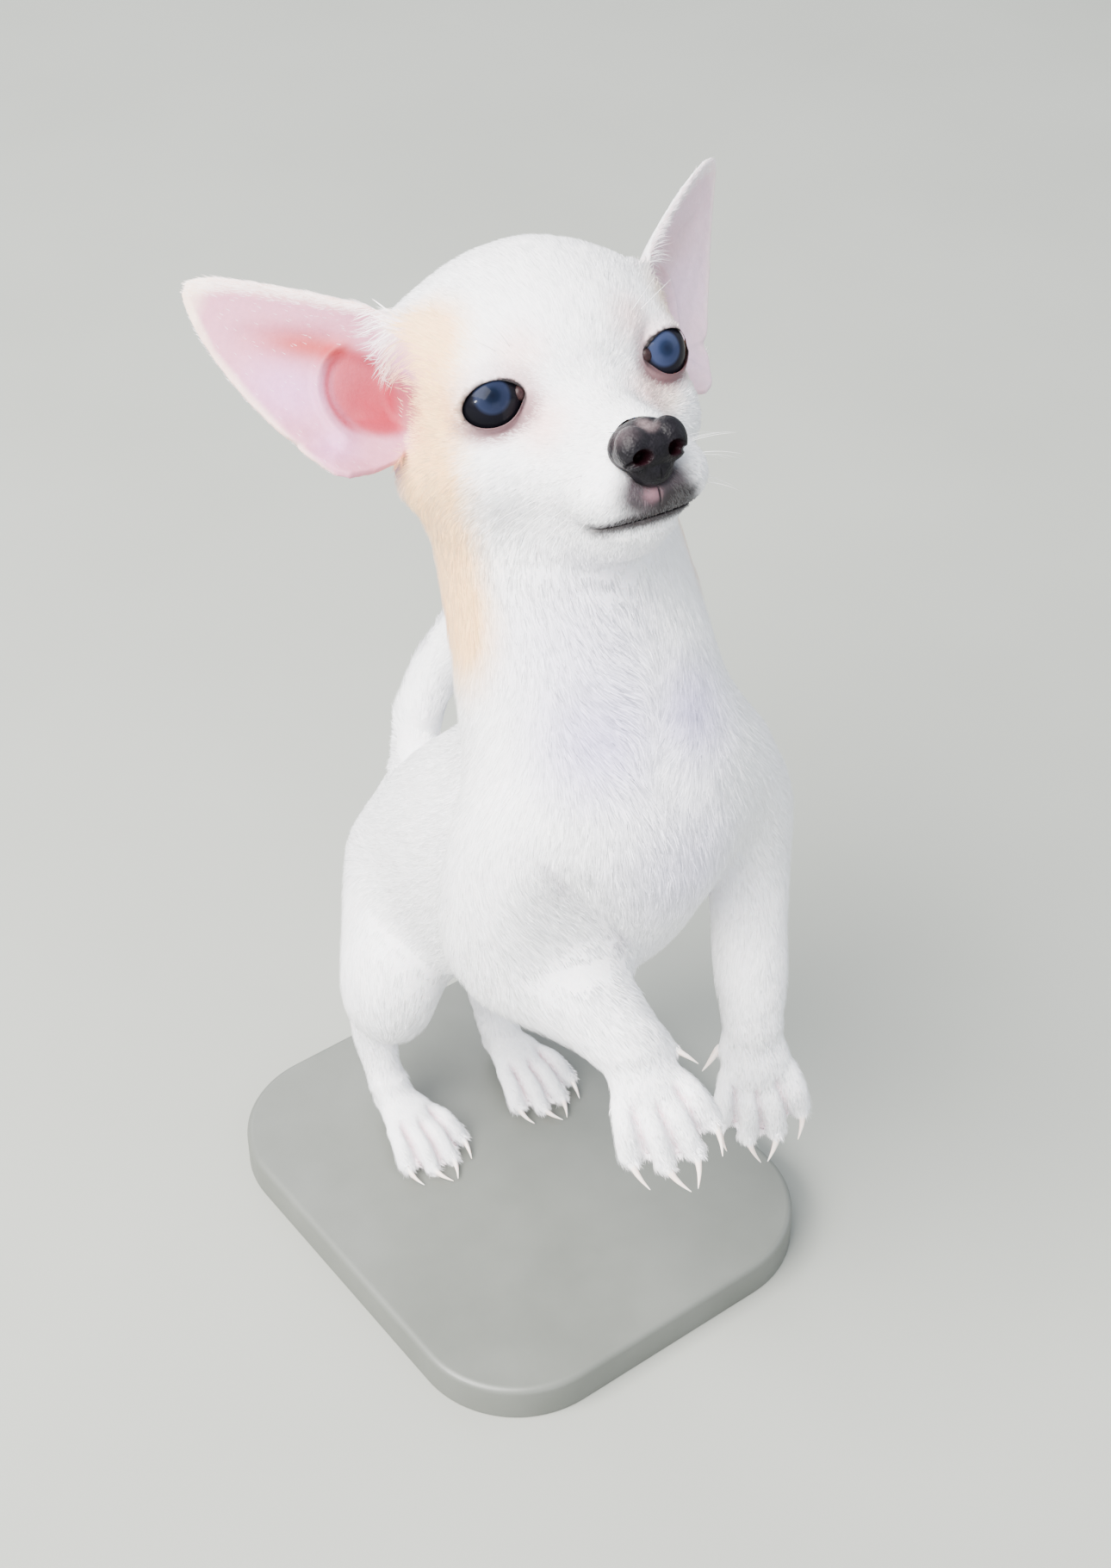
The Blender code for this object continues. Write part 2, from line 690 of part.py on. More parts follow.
def finish(obj, look):
    """Sets the part to metres above the floor, with its origin at its own middle."""
    lift = Matrix.Translation((-BASE_CENTRE[0], -BASE_CENTRE[1], BASE_SIZE[2] + GAP))
    data = obj.data
    data.transform(Matrix.Scale(MM, 4) @ lift)
    corners = [v.co for v in data.vertices]
    low = Vector([min(c[i] for c in corners) for i in range(3)])
    high = Vector([max(c[i] for c in corners) for i in range(3)])
    middle = (low + high) / 2
    data.transform(Matrix.Translation(-middle))
    obj.location = middle
    data.materials.clear()
    paint = bpy.data.materials.new(obj.name)
    paint.use_nodes = True
    shader = paint.node_tree.nodes["Principled BSDF"]
    shader.inputs["Base Color"].default_value = (*look[0], 1.0)
    shader.inputs["Roughness"].default_value = look[1]
    shader.inputs["Metallic"].default_value = look[2]
    data.materials.append(paint)
    data.shade_smooth()


def part_body(body):
    """Parts the fused flesh into its nodes with thin slabs and thins each one out."""
    nodes = {}
    for side, word in ((1, "left"), (-1, "right")):
        origin, ahead, back = FOREPAW[side]
        wrist = aim(Vector(origin) - Vector(ahead).normalized() * WRIST_BACK, ahead, back)
        nodes[f"forepaw_{word}"], body = part_off(body, wrist, WRIST_SIZE, f"forepaw_{word}")
        ankle = aim((HINDPAW[side][0], *ANKLE_SPOT), ANKLE_WAY, (0, 1, 0))
        nodes[f"hindpaw_{word}"], body = part_off(body, ankle, ANKLE_SIZE, f"hindpaw_{word}")
        way, spot = SHOULDER_CUT[side]
        shoulder = aim(spot, way, (0, 0, 1))
        nodes[f"foreleg_{word}"], body = carve_off(body, shoulder, SHOULDER_BOX, f"foreleg_{word}")
        way, spot = HIP_CUT[side]
        hip = aim(spot, way, (0, 0, 1))
        nodes[f"hindleg_{word}"], body = carve_off(body, hip, HIP_BOX, f"hindleg_{word}")
    cuts = (("head", HEAD, NAPE_CUT), ("tail", WORLD, RUMP_CUT), ("neck", WORLD, WITHERS_CUT))
    for name, place, (point, way, size) in cuts:
        cut = place @ aim(point, way, (1, 0, 0))
        nodes[name], body = part_off(body, cut, size, name)
    nodes["torso"] = body
    for name, obj in nodes.items():
        thin_out(obj, BUDGET[name.split("_")[0]])
    return nodes


def build():
    for obj in list(bpy.data.objects):
        bpy.data.objects.remove(obj)
    body, claws = build_flesh()
    level_soles(body)
    nodes = part_body(body)
    looks = {name: FUR for name in nodes}
    head = nodes["head"]
    for side, word in ((1, "left"), (-1, "right")):
        subtract(head, eyeball("socket", side, GAP))
        subtract(head, ear("ear_socket", side, GAP))
        nodes[f"eye_{word}"] = eyeball(f"eye_{word}", side, 0.0)
        nodes[f"ear_{word}"] = ear(f"ear_{word}", side, 0.0)
        looks[f"eye_{word}"], looks[f"ear_{word}"] = EYE_DARK, EAR_SKIN
    subtract(head, nose_pad("nose_socket", GAP))
    nodes["nose"] = nose_pad("nose", 0.0)
    subtract(nodes["nose"], nostrils())
    looks["nose"] = NOSE_DARK
    subtract(head, mouth_line())
    for name, (rows, across) in claws.items():
        limb = "_".join(name.split("_")[1:3])
        holder = nodes[limb.replace("fore_", "forepaw_").replace("hind_", "hindpaw_")]
        subtract(holder, claw("pocket", rows, across, GAP))
        nodes[name] = claw(name, rows, across, 0.0)
        looks[name] = CLAW_PALE
    nodes["stand_base"] = display_base()
    looks["stand_base"] = BASE_PAINT
    for name, obj in nodes.items():
        obj.name = name
        finish(obj, looks[name])


build()
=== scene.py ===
# %% [markdown]
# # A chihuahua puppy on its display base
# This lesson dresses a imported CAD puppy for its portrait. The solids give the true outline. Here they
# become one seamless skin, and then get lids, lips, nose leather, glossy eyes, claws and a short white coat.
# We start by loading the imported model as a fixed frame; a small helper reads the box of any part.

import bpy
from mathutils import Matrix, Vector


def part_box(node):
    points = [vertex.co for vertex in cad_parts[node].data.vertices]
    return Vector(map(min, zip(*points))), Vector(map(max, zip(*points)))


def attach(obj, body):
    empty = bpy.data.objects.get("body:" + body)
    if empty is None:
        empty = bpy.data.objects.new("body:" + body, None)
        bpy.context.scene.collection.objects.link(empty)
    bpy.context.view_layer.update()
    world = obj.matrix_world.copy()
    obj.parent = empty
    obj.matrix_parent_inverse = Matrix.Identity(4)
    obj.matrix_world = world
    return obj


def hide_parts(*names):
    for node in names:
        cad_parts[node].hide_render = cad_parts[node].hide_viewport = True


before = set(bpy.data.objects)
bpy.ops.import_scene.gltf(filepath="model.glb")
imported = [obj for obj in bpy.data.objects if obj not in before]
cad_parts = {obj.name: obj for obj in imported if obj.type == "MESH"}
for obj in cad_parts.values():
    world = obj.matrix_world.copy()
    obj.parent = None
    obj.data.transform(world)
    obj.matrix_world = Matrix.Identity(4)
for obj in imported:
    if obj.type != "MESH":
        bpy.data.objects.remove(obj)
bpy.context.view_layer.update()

# %% [markdown]
# The CAD was drawn in millimetres above the base's top, with the puppy facing -Y
# and its own left at +X. Two matrices bring those friendly numbers into the scene:
# DOG for the body and HEAD for the face. The head is turned a little to its right
# and lifted to look up at the viewer, so the face is far easier to model in its
# own upright frame, whose origin lies midway between the eyes.

# %% Frames of the body and of the head
import math

import bmesh
import bpy
import numpy as np
from mathutils import Euler, Matrix, Vector
from mathutils.bvhtree import BVHTree

MM = 0.001
BASE_SIZE = (104.0, 124.0, 10.0)
BASE_CORNER = 26.0
DOG = Matrix.Scale(MM, 4) @ Matrix.Translation((0.0, 6.0, 10.3))
TURN = Matrix.Rotation(math.radians(-9.1), 4, "Z")
LIFT = Matrix.Rotation(math.radians(-26.6), 4, "X")
TILT = Matrix.Rotation(math.radians(-1.1), 4, "Y")
HEAD = DOG @ Matrix.Translation((6.5, -21.3, 230.5)) @ TURN @ LIFT @ TILT
print("point between the eyes", [round(c, 4) for c in HEAD.translation])

# %% [markdown]
# Each eye and each ear gets a frame too. In the eye's frame z looks out of the
# head, so a lid is a ring around z. In the ear's frame z runs from the root to the
# tip and y is the way the cup faces. The same few numbers shaped the solids.

# %% Frames of the eyes and ears
EYE_RADIUS = 7.5
EYE_CENTRE = (17.3, 5.2, 0.4)
EYE_SHIFT = Vector((0.7, 0.0, 0.0))
EYE_TURN = math.radians(14.0)
EAR_ROOT = (25.3, 26.3, 5.5)
EAR_AXIS = {1: (36.6, 18.3, 23.6), -1: (30.5, 23.7, 26.5)}
EAR_FACE = {1: (0.55, -0.76, -0.33), -1: (0.59, -0.8, 0.12)}
EAR_LENGTH = 47.0
SIDES = {1: "left", -1: "right"}


def mirror(point, side):
    """The point on the puppy's left when side is 1, on its right when side is -1."""
    return Vector((point[0] * side, point[1], point[2]))


def aim(origin, forward, up):
    """A frame whose z axis runs forward and whose y axis lies near up."""
    z_axis = Vector(forward).normalized()
    x_axis = Vector(up).cross(z_axis).normalized()
    turned = Matrix((x_axis, z_axis.cross(x_axis), z_axis)).transposed().to_4x4()
    return Matrix.Translation(origin) @ turned


def eye_frame(side):
    """The frame of one eye, in the scene."""
    look = (math.sin(EYE_TURN) * side, -math.cos(EYE_TURN), 0.0)
    return HEAD @ aim(mirror(EYE_CENTRE, side) + EYE_SHIFT, look, (0, 0, 1))


def ear_frame(side):
    """The frame of one ear, in the scene."""
    root, axis = mirror(EAR_ROOT, side), mirror(EAR_AXIS[side], side)
    return HEAD @ aim(root, axis, mirror(EAR_FACE[side], side))


EYE = {side: eye_frame(side) for side in SIDES}
EAR = {side: ear_frame(side) for side in SIDES}
print("eyes", [round(EYE[s].translation.x, 4) for s in SIDES])

# %% [markdown]
# Three small makers do most of the modelling. A ball is an ellipsoid, a tube is a row of circles bridged
# together, and to_object turns a bmesh into an object. finish_piece then gives that object its finish and
# lets it ride on the CAD body.

# %% Makers of simple forms
def ball(mesh, centre, radii, place, turn=(0.0, 0.0, 0.0), fine=24):
    """Adds an ellipsoid, turned by Euler angles in degrees."""
    spin = Euler([math.radians(a) for a in turn]).to_matrix().to_4x4()
    size = Matrix.Diagonal((*radii, 1.0))
    spot = place @ Matrix.Translation(centre) @ spin @ size
    bmesh.ops.create_uvsphere(mesh, u_segments=fine, v_segments=fine // 2, radius=1.0, matrix=spot)


def tube(mesh, stations, place, side=(1, 0, 0), sides=12):
    """Adds a closed tube: each station is x, y, z, half width and half depth."""
    centres = [Vector(s[:3]) for s in stations]
    rings = []
    for i, station in enumerate(stations):
        way = centres[min(i + 1, len(centres) - 1)] - centres[max(i - 1, 0)]
        depth = way.cross(Vector(side)).normalized()
        width = depth.cross(way).normalized()
        turned = Matrix((width, depth, way.normalized())).transposed().to_4x4()
        size = Matrix.Diagonal((station[3], station[-1], 1.0, 1.0))
        spot = place @ Matrix.Translation(centres[i]) @ turned @ size
        ring = bmesh.ops.create_circle(mesh, segments=sides, radius=1.0, matrix=spot)
        rings.append(list({e for v in ring["verts"] for e in v.link_edges}))
    for a, b in zip(rings, rings[1:]):
        bmesh.ops.bridge_loops(mesh, edges=a + b)
    for ends in (rings[0], rings[-1]):
        bmesh.ops.contextual_create(mesh, geom=ends)


def to_object(name, mesh):
    """Turns a bmesh into an object of the scene with its faces pointing out."""
    bmesh.ops.recalc_face_normals(mesh, faces=mesh.faces[:])
    data = bpy.data.meshes.new(name)
    mesh.to_mesh(data)
    mesh.free()
    made = bpy.data.objects.new(name, data)
    bpy.context.scene.collection.objects.link(made)
    return made


def bake(obj):
    """Applies the modifiers of an object to its mesh."""
    graph = bpy.context.evaluated_depsgraph_get()
    baked = bpy.data.meshes.new_from_object(obj.evaluated_get(graph))
    obj.modifiers.clear()
    obj.data = baked
    return obj


def finish_piece(obj, slot, material, *nodes):
    """Gives a piece its finish, lets it ride, and hides what it replaces. The slot is not used."""
    obj.data.materials.clear()
    obj.data.materials.append(material)
    obj.data.shade_smooth()
    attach(obj, "root")
    if nodes:
        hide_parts(*nodes)
    triangles = sum(len(p.vertices) - 2 for p in obj.data.polygons)
    print(obj.name, "has", triangles, "triangles")
    return obj


# %% [markdown]
# Several steps below work on all points of a mesh at once: they ask how far each
# point lies from a place on the puppy and blend something in there. A blob is that
# question as a soft ellipsoid. A vertex group can then carry the answer to any
# modifier, and a smoothing that follows such a group softens only part of a skin.

# %% Helpers for many points at once
def points_of(obj):
    """The vertices of a mesh as rows of metres."""
    flat = np.zeros(len(obj.data.vertices) * 3, np.float64)
    obj.data.vertices.foreach_get("co", flat)
    return flat.reshape(-1, 3)


def normals_of(obj):
    """The vertex normals of a mesh."""
    flat = np.zeros(len(obj.data.vertices) * 3, np.float32)
    obj.data.vertex_normals.foreach_get("vector", flat)
    return flat.reshape(-1, 3).astype(np.float64)


def seen_from(points, place):
    """The points in the millimetres of a frame such as HEAD or DOG."""
    inverse = np.array(place.inverted())
    return points @ inverse[:3, :3].T + inverse[:3, 3]


def blob(points, centre, radii):
    """1 at the centre of a soft ellipsoid, falling smoothly to 0 at its surface."""
    away = np.linalg.norm((points - np.array(centre)) / np.array(radii), axis=1)
    near = np.clip(1.0 - away, 0.0, 1.0)
    return near * near * (3.0 - 2.0 * near)


def ramp_up(values, low, high):
    """0 below low, 1 above high and a smooth rise between them."""
    t = np.clip((values - low) / (high - low), 0.0, 1.0)
    return t * t * (3.0 - 2.0 * t)


def weigh(obj, name, values):
    """Stores values from 0 to 1 as a vertex group, in ten steps."""
    group = obj.vertex_groups.new(name=name)
    for level in range(1, 11):
        wanted = np.nonzero(np.ceil(values * 10) == level)[0]
        group.add(wanted.tolist(), level / 10, "REPLACE")


def soften_near(obj, places, repeat):
    """Smooths the skin around a few places of the body: each is a point and a reach."""
    dog = seen_from(points_of(obj), DOG)
    near = np.zeros(len(dog))
    for centre, reach in places:
        near = np.maximum(near, np.clip(2.5 * blob(dog, centre, (reach,) * 3), 0, 1))
    weigh(obj, "seam", near)
    soften = obj.modifiers.new("soften", "SMOOTH")
    soften.factor = 0.5
    soften.iterations = repeat
    soften.vertex_group = "seam"
    bake(obj)
    obj.vertex_groups.clear()


# %% [markdown]
# The solids have few, large facets, and hair would show every one of them. Plain
# smoothing wipes facets out but also shrinks the form. So we smooth the places, look
# at what got lost, smooth that too and give it back. The face, ears and paws are kept
# out of it, because their small forms matter more than an even surface.

# %% Smoothing that keeps the volume
def unit(rows):
    """Rows scaled to length one."""
    return rows / np.maximum(np.linalg.norm(rows, axis=-1, keepdims=True), 1e-9)


def care(points):
    """How much a place deserves small faces: face, ears and paws."""
    head = seen_from(points, HEAD)
    dog = seen_from(points, DOG)
    face = np.clip(1.6 * blob(head, (0, -8, -8), (34, 34, 34)), 0, 1)
    ears = np.clip((np.abs(head[:, 0]) - 27.0) / 6.0, 0, 1) * (head[:, 2] > -18)
    paws = (dog[:, 2] < 14) + (dog[:, 1] < -62) * (dog[:, 2] < 104)
    return np.clip(face + 0.8 * ears + 0.6 * paws, 0, 1)


def even_out(obj, values, repeat, keep):
    """Draws each point's value towards its neighbours' mean, less where keep is near 1."""
    pairs = np.zeros(len(obj.data.edges) * 2, np.int32)
    obj.data.edges.foreach_get("vertices", pairs)
    a, b = pairs.reshape(-1, 2).T
    n = len(values)
    many = np.maximum(np.bincount(a, minlength=n) + np.bincount(b, minlength=n), 1)
    pull = 0.6 * (1 - keep)[:, None]
    for _ in range(repeat):
        mean = np.empty_like(values)
        for i in range(3):
            mean[:, i] = np.bincount(a, values[b, i], n) + np.bincount(b, values[a, i], n)
        values = values + pull * (mean / many[:, None] - values)
    return values


def ease(obj, repeat, keep):
    """Wipes out facets and gives back the volume that plain smoothing takes."""
    places = points_of(obj)
    soft = even_out(obj, places, repeat, keep)
    soft += even_out(obj, places - soft, repeat, keep)
    obj.data.vertices.foreach_set("co", soft.ravel())
    obj.data.update()


# %% [markdown]
# The solids are parted at the neck, shoulders, hips and wrists, as a maker would
# part a mould. A real skin has no seams, so we copy the flesh, swell each copy by
# a hair's breadth to close the gaps, and fuse all of it with a voxel remesh. The
# broad forms go first at a coarse voxel, so that smoothing wipes out their facets.

# %% Broad flesh
GROW = 0.25
BROAD = ("head", "neck", "torso", "tail", "foreleg_left", "foreleg_right", "hindleg_left", "hindleg_right")


def copy_of(name, grow=GROW):
    """A merged copy of a CAD node, swollen a little along its normals."""
    mesh = bmesh.new()
    mesh.from_mesh(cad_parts[name].data)
    bmesh.ops.remove_doubles(mesh, verts=mesh.verts[:], dist=1e-6)
    mesh.normal_update()
    for vert in mesh.verts:
        vert.co += vert.normal * grow * MM
    data = bpy.data.meshes.new(name + "_copy")
    mesh.to_mesh(data)
    mesh.free()
    return data


def fuse(obj, voxel, smooth):
    """Fuses overlapping shells into one skin, then smooths it."""
    remesh = obj.modifiers.new("fuse", "REMESH")
    remesh.mode = "VOXEL"
    remesh.voxel_size = voxel * MM
    soften = obj.modifiers.new("soften", "SMOOTH")
    soften.factor = 0.5
    soften.iterations = smooth
    return bake(obj)


mesh = bmesh.new()
for name in BROAD:
    mesh.from_mesh(copy_of(name))
broad = fuse(to_object("broad_flesh", mesh), 0.9, 14)
soften_near(
    broad,
    (
        ((9, -6, 200), 44),
        ((2, -40, 142), 46),
        ((24, -42, 146), 26),
        ((-22, -40, 142), 26),
        ((20, 22, 74), 26),
        ((-18, 20, 72), 26),
        ((7, 41, 88), 18),
    ),
    40,
)
ease(broad, 60, care(points_of(broad)))
print("broad flesh has", len(broad.data.polygons), "faces")

# %% [markdown]
# Paws and ears are too fine for that voxel, so they join in a second pass. So do
# the forms that only skin shows. Each lid starts as a shell that hugs the eyeball,
# a bit wider than the ball itself. The upper lips hang as two soft pads beside the
# groove under the nose, with the lower lip below them. Wrists and ankles get extra
# smoothing, because the moulds part there.

# %% Fine flesh
LID_SHELL = 8.3
FINE = ("forepaw_left", "forepaw_right", "hindpaw_left", "hindpaw_right", "ear_left", "ear_right")
mesh = bmesh.new()
mesh.from_mesh(broad.data)
for name in FINE:
    mesh.from_mesh(copy_of(name))
for side in SIDES:
    ball(mesh, (0, 0, 0), (LID_SHELL,) * 3, EYE[side], fine=40)
    ball(mesh, mirror((5.0, -18.5, -20.5), side), (5.4, 4.6, 4.6), HEAD)
ball(mesh, (0, -14.5, -28.0), (7.5, 4.6, 3.6), HEAD)
bpy.data.objects.remove(broad)
skin = fuse(to_object("skin", mesh), 0.45, 5)
soften_near(
    skin,
    (((26, -60, 80), 17), ((-15.5, -71, 99), 16), ((18, 25, 13), 13), ((-16, 25, 13), 13)),
    90,
)
print("fine flesh has", len(skin.data.polygons), "faces")

# %% [markdown]
# The skin under a coat lies a little deeper than the coat's outside, which is where
# the solids put it. So the whole skin is drawn in by the coat's depth, less where the
# puppy is nearly bare: on the ears and around the nose.

# %% Draw the skin in by the coat's depth
COAT_DEPTH = 0.35
places = points_of(skin)
head = seen_from(places, HEAD)
bare = np.clip((np.abs(head[:, 0]) - 27.0) / 4.0, 0, 1) * (head[:, 2] > -20)
bare = np.maximum(bare, blob(head, (0, -20, -18), (16, 16, 16)))
places -= normals_of(skin) * ((GROW + COAT_DEPTH) * MM * (1 - 0.6 * bare))[:, None]
skin.data.vertices.foreach_set("co", places.ravel())
skin.data.update()
print("drawn in by", GROW + COAT_DEPTH, "mm at most")

# %% [markdown]
# Some forms are easiest to press into the skin one by one, as a sculptor presses clay.
# Inside each ear a fold arches over the hollow that leads to the canal, a notch and
# a small lobe sit on the outer edge, and the blade has a shallow valley. The chest
# has a hollow on each side of the breastbone, and grooves part the toes.

# %% Forms inside the ears
def line_gap(flat, start, end):
    """Distance of points in a plane from a line between two of its places."""
    a, b = np.array(start, float), np.array(end, float)
    t = np.clip((flat - a) @ (b - a) / ((b - a) @ (b - a)), 0, 1)
    return np.linalg.norm(flat - (a + t[:, None] * (b - a)), axis=1)


def canal(ear):
    """1 on the rim of the hollow of the ear, less inside it and more outside."""
    return np.hypot((ear[:, 0] + 3.0) / 8.8, (ear[:, 2] - 3.0) / 11.3)


def bell(values, width):
    """1 at zero, falling off like a bell."""
    return np.exp(-((values / width) ** 2))


def press_ears(points, normals):
    """How far each point moves: along the way the ear faces, in metres."""
    move = np.zeros_like(points)
    head = seen_from(points, HEAD)
    for side in SIDES:
        ear = seen_from(points, EAR[side]) * (side, 1, 1)
        front = np.array(EAR[side].to_3x3().col[1].normalized())
        facing = ramp_up(normals @ front, -0.3, 0.3)
        flat, rim = ear[:, (0, 2)], canal(ear)
        depth = 0.6 + 1.4 * ramp_up(-ear[:, 2], -13.0, -4.0)
        inner_edge = 0.84 - 0.35 * (1 - ramp_up(ear[:, 2], 0.0, 7.0))
        press = -depth * (1 - ramp_up(rim, inner_edge, 1.02)) * (1 - ramp_up(ear[:, 0], -1.0, 3.0))
        ridge = (1 - ramp_up(ear[:, 0], 0.0, 4.0)) * (0.1 + 0.9 * ramp_up(ear[:, 2], 1.0, 7.0))
        press += 1.3 * bell(rim - 1.12, 0.10) * ridge
        press -= 1.1 * bell(line_gap(flat, (-18.5, 15.0), (-15.6, 6.5)), 1.0)
        press += 1.3 * bell(np.hypot(flat[:, 0] + 14.6, flat[:, 1] - 4.5), 2.4)
        press -= 0.5 * bell(line_gap(flat, (2.0, 17.0), (-4.0, 33.0)), 2.0)
        press += 0.5 * bell(line_gap(flat, (-8.0, 20.0), (-9.0, 26.0)), 4.5)
        back = 0.9 * ramp_up(ear[:, 2], -6.0, -2.0)
        mine = ramp_up(head[:, 0] * side, 25.0, 28.0) * ramp_up(ear[:, 2], -6.0, -2.0)
        press *= mine * (back + (1 - back) * facing)
        move += front * (press * MM)[:, None]
    return move


places = points_of(skin) + press_ears(points_of(skin), normals_of(skin))
skin.data.vertices.foreach_set("co", places.ravel())
skin.data.update()
print("pressed the ears")

# %% Forms of the chest and the toes
TOE_GROOVE = 12.5
CLAW_ROOTS = []


def claw_root(paw, number, palm):
    """The middle of a claw's end nearest the palm."""
    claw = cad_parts[f"claw_{paw.replace('paw', '')}_{number}"]
    spots = seen_from(points_of(claw), DOG)
    far = np.linalg.norm(spots - palm, axis=1)
    return spots[far <= np.quantile(far, 0.25)].mean(0)


def toe_gaps():
    """For each pair of toes: a place between them, the way back and the way across."""
    gaps = []
    for paw in ("forepaw_left", "forepaw_right", "hindpaw_left", "hindpaw_right"):
        palm = seen_from(np.array([[*p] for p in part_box(paw)]), DOG).mean(0)
        roots = [claw_root(paw, k, palm) for k in range(2, 6)]
        CLAW_ROOTS.extend(roots)
        straight = unit(palm - np.mean(roots, axis=0))
        for a, b in zip(roots, roots[1:]):
            middle = (a + b) / 2
            back = unit(0.3 * unit(palm - middle) + 0.7 * straight)
            across = b - a
            gaps.append((middle, back, unit(across - back * (across @ back))))
    return gaps


def toe_groove(points):
    """1 in the middle of the grooves between the toes, 0 away from them."""
    dog = seen_from(points, DOG)
    deep = np.zeros(len(points))
    for middle, back, across in TOE_GAPS:
        rel = dog - middle
        along, aside = rel @ back, rel @ across
        height = np.linalg.norm(rel - along[:, None] * back - aside[:, None] * across, axis=1)
        ends = ramp_up(along, -4.0, -1.0) * (1 - ramp_up(along, TOE_GROOVE - 4.0, TOE_GROOVE))
        deep = np.maximum(deep, bell(aside, 0.75) * ends * (height < 8))
    return deep


CREASES = (
    ((-24.5, -53.0, 146.0), (-22.8, -54.9, 138.2), 2.2, 1.4),
    ((-22.8, -54.9, 138.2), (-15.9, -56.8, 128.4), 2.5, 3.1),
    ((-15.9, -56.8, 128.4), (-8.3, -57.4, 117.8), 2.5, 3.3),
)
TOE_GAPS = toe_gaps()
places, outward = points_of(skin), normals_of(skin)
dog = seen_from(places, DOG)
press = -1.25 * toe_groove(places)
crease = np.zeros(len(dog))
for start, end, width, deep in CREASES:
    crease = np.maximum(crease, deep * bell(line_gap(dog, start, end), width))
press -= crease
for centre, reach, height in (
    ((13.5, -52.5, 168.5), 12, -3.2),
    ((-11.0, -50.0, 169.5), 13, -3.2),
    ((0.5, -62.0, 148.0), 15, 1.0),
    ((4.0, -28.0, 190.0), 11, -0.8),
):
    press += height * blob(dog, centre, (reach,) * 3)
press += 1.1 * bell(line_gap(dog, (-3.7, -55.7, 164.8), (7.0, -46.0, 181.0)), 2.6)
places += outward * (press * MM)[:, None]
skin.data.vertices.foreach_set("co", places.ravel())
skin.data.update()
print("parted", len(TOE_GAPS), "pairs of toes")

# %% [markdown]
# A lid is a thin curtain that hugs the eyeball, also at the nose's side, where the
# bone would otherwise leave a thick wall beside the ball. So all skin around the
# opening is moved to an even depth over the ball, and eases back into the face.

# %% Lids that hug the eyes
LID_CENTRE = (0.4, -0.3)
LID_HALF = (5.9, 4.35)
LID_TILT = math.radians(-8.0)
LID_DEPTH = 8.0


def lid_reach(points, side):
    """1 on the rim of the lids and more outside it, the angle around it, in front or not."""
    eye = seen_from(points, EYE[side]) * (side, 1, 1)
    x, y = eye[:, 0] - LID_CENTRE[0], eye[:, 1] - LID_CENTRE[1]
    c, d = math.cos(LID_TILT), math.sin(LID_TILT)
    x, y = (x * c + y * d) / LID_HALF[0], (y * c - x * d) / LID_HALF[1]
    return np.hypot(x, y), np.arctan2(y, x), eye[:, 2] > 0


places = points_of(skin)
for side in SIDES:
    reach, turn, front = lid_reach(places, side)
    away = places - np.array(EYE[side].translation)
    gap = np.linalg.norm(away, axis=1)
    hug = (1 - ramp_up(reach, 1.15, 1.95)) * front * (gap < 14 * MM)
    places += away * (hug * (LID_DEPTH * MM / gap - 1.0))[:, None]
skin.data.vertices.foreach_set("co", places.ravel())
skin.data.update()
print("lids lie", round(LID_DEPTH - EYE_RADIUS, 2), "mm over the eyes")

# %% [markdown]
# The fused skin is denser than a piece may be. A Decimate modifier thins it, led by
# a vertex group: the weight is low on the face, ears and paws, where the reader's
# eye rests, and full on the trunk. Decimate leaves very large faces where a form is
# even. A grain far finer than hair stops that, and smoothing takes it out again.

# %% Thin the skin
SKIN_BUDGET = 180000
chance = np.random.default_rng(7)
grain = chance.normal(0.0, 0.03 * MM, len(skin.data.vertices))
places = points_of(skin) + normals_of(skin) * (grain * (1 - care(points_of(skin))))[:, None]
skin.data.vertices.foreach_set("co", places.ravel())
weigh(skin, "thin", 1.0 - 0.85 * care(points_of(skin)))
reduce = skin.modifiers.new("reduce", "DECIMATE")
reduce.ratio = SKIN_BUDGET / (2 * len(skin.data.polygons))
reduce.vertex_group = "thin"
reduce.use_collapse_triangulate = True
bake(skin)
skin.vertex_groups.clear()
ease(skin, 2, care(points_of(skin)))
print("thinned skin has", len(skin.data.polygons), "faces")

# %% [markdown]
# Now the openings. Each eye looks out through an almond: pointed at the inner
# corner, rounder at the outer one. The cutter is that almond drawn forward, joined
# to a ball just larger than the eye, so the lids keep an even thickness. The mouth
# is a thin blade that follows the front of the muzzle at the height of the lips.

# %% Eye openings
def almond(turn):
    """A point of the lids' opening: x grows away from the nose and y is up."""
    x, y = math.cos(turn), math.sin(turn)
    pinch = 1.0 - 0.28 * max(0.0, -x) ** 3
    x, y = LID_HALF[0] * x - 0.5 * max(0.0, -x) ** 6, LID_HALF[1] * y * pinch
    turned = Matrix.Rotation(LID_TILT, 2) @ Vector((x, y))
    return turned.x + LID_CENTRE[0], turned.y + LID_CENTRE[1]


def cut(obj, cutter):
    """Cuts one object's shape out of another and removes the cutter."""
    carve = obj.modifiers.new("carve", "BOOLEAN")
    carve.operation = "DIFFERENCE"
    carve.solver = "MANIFOLD"
    carve.object = cutter
    bake(obj)
    bpy.data.objects.remove(cutter)


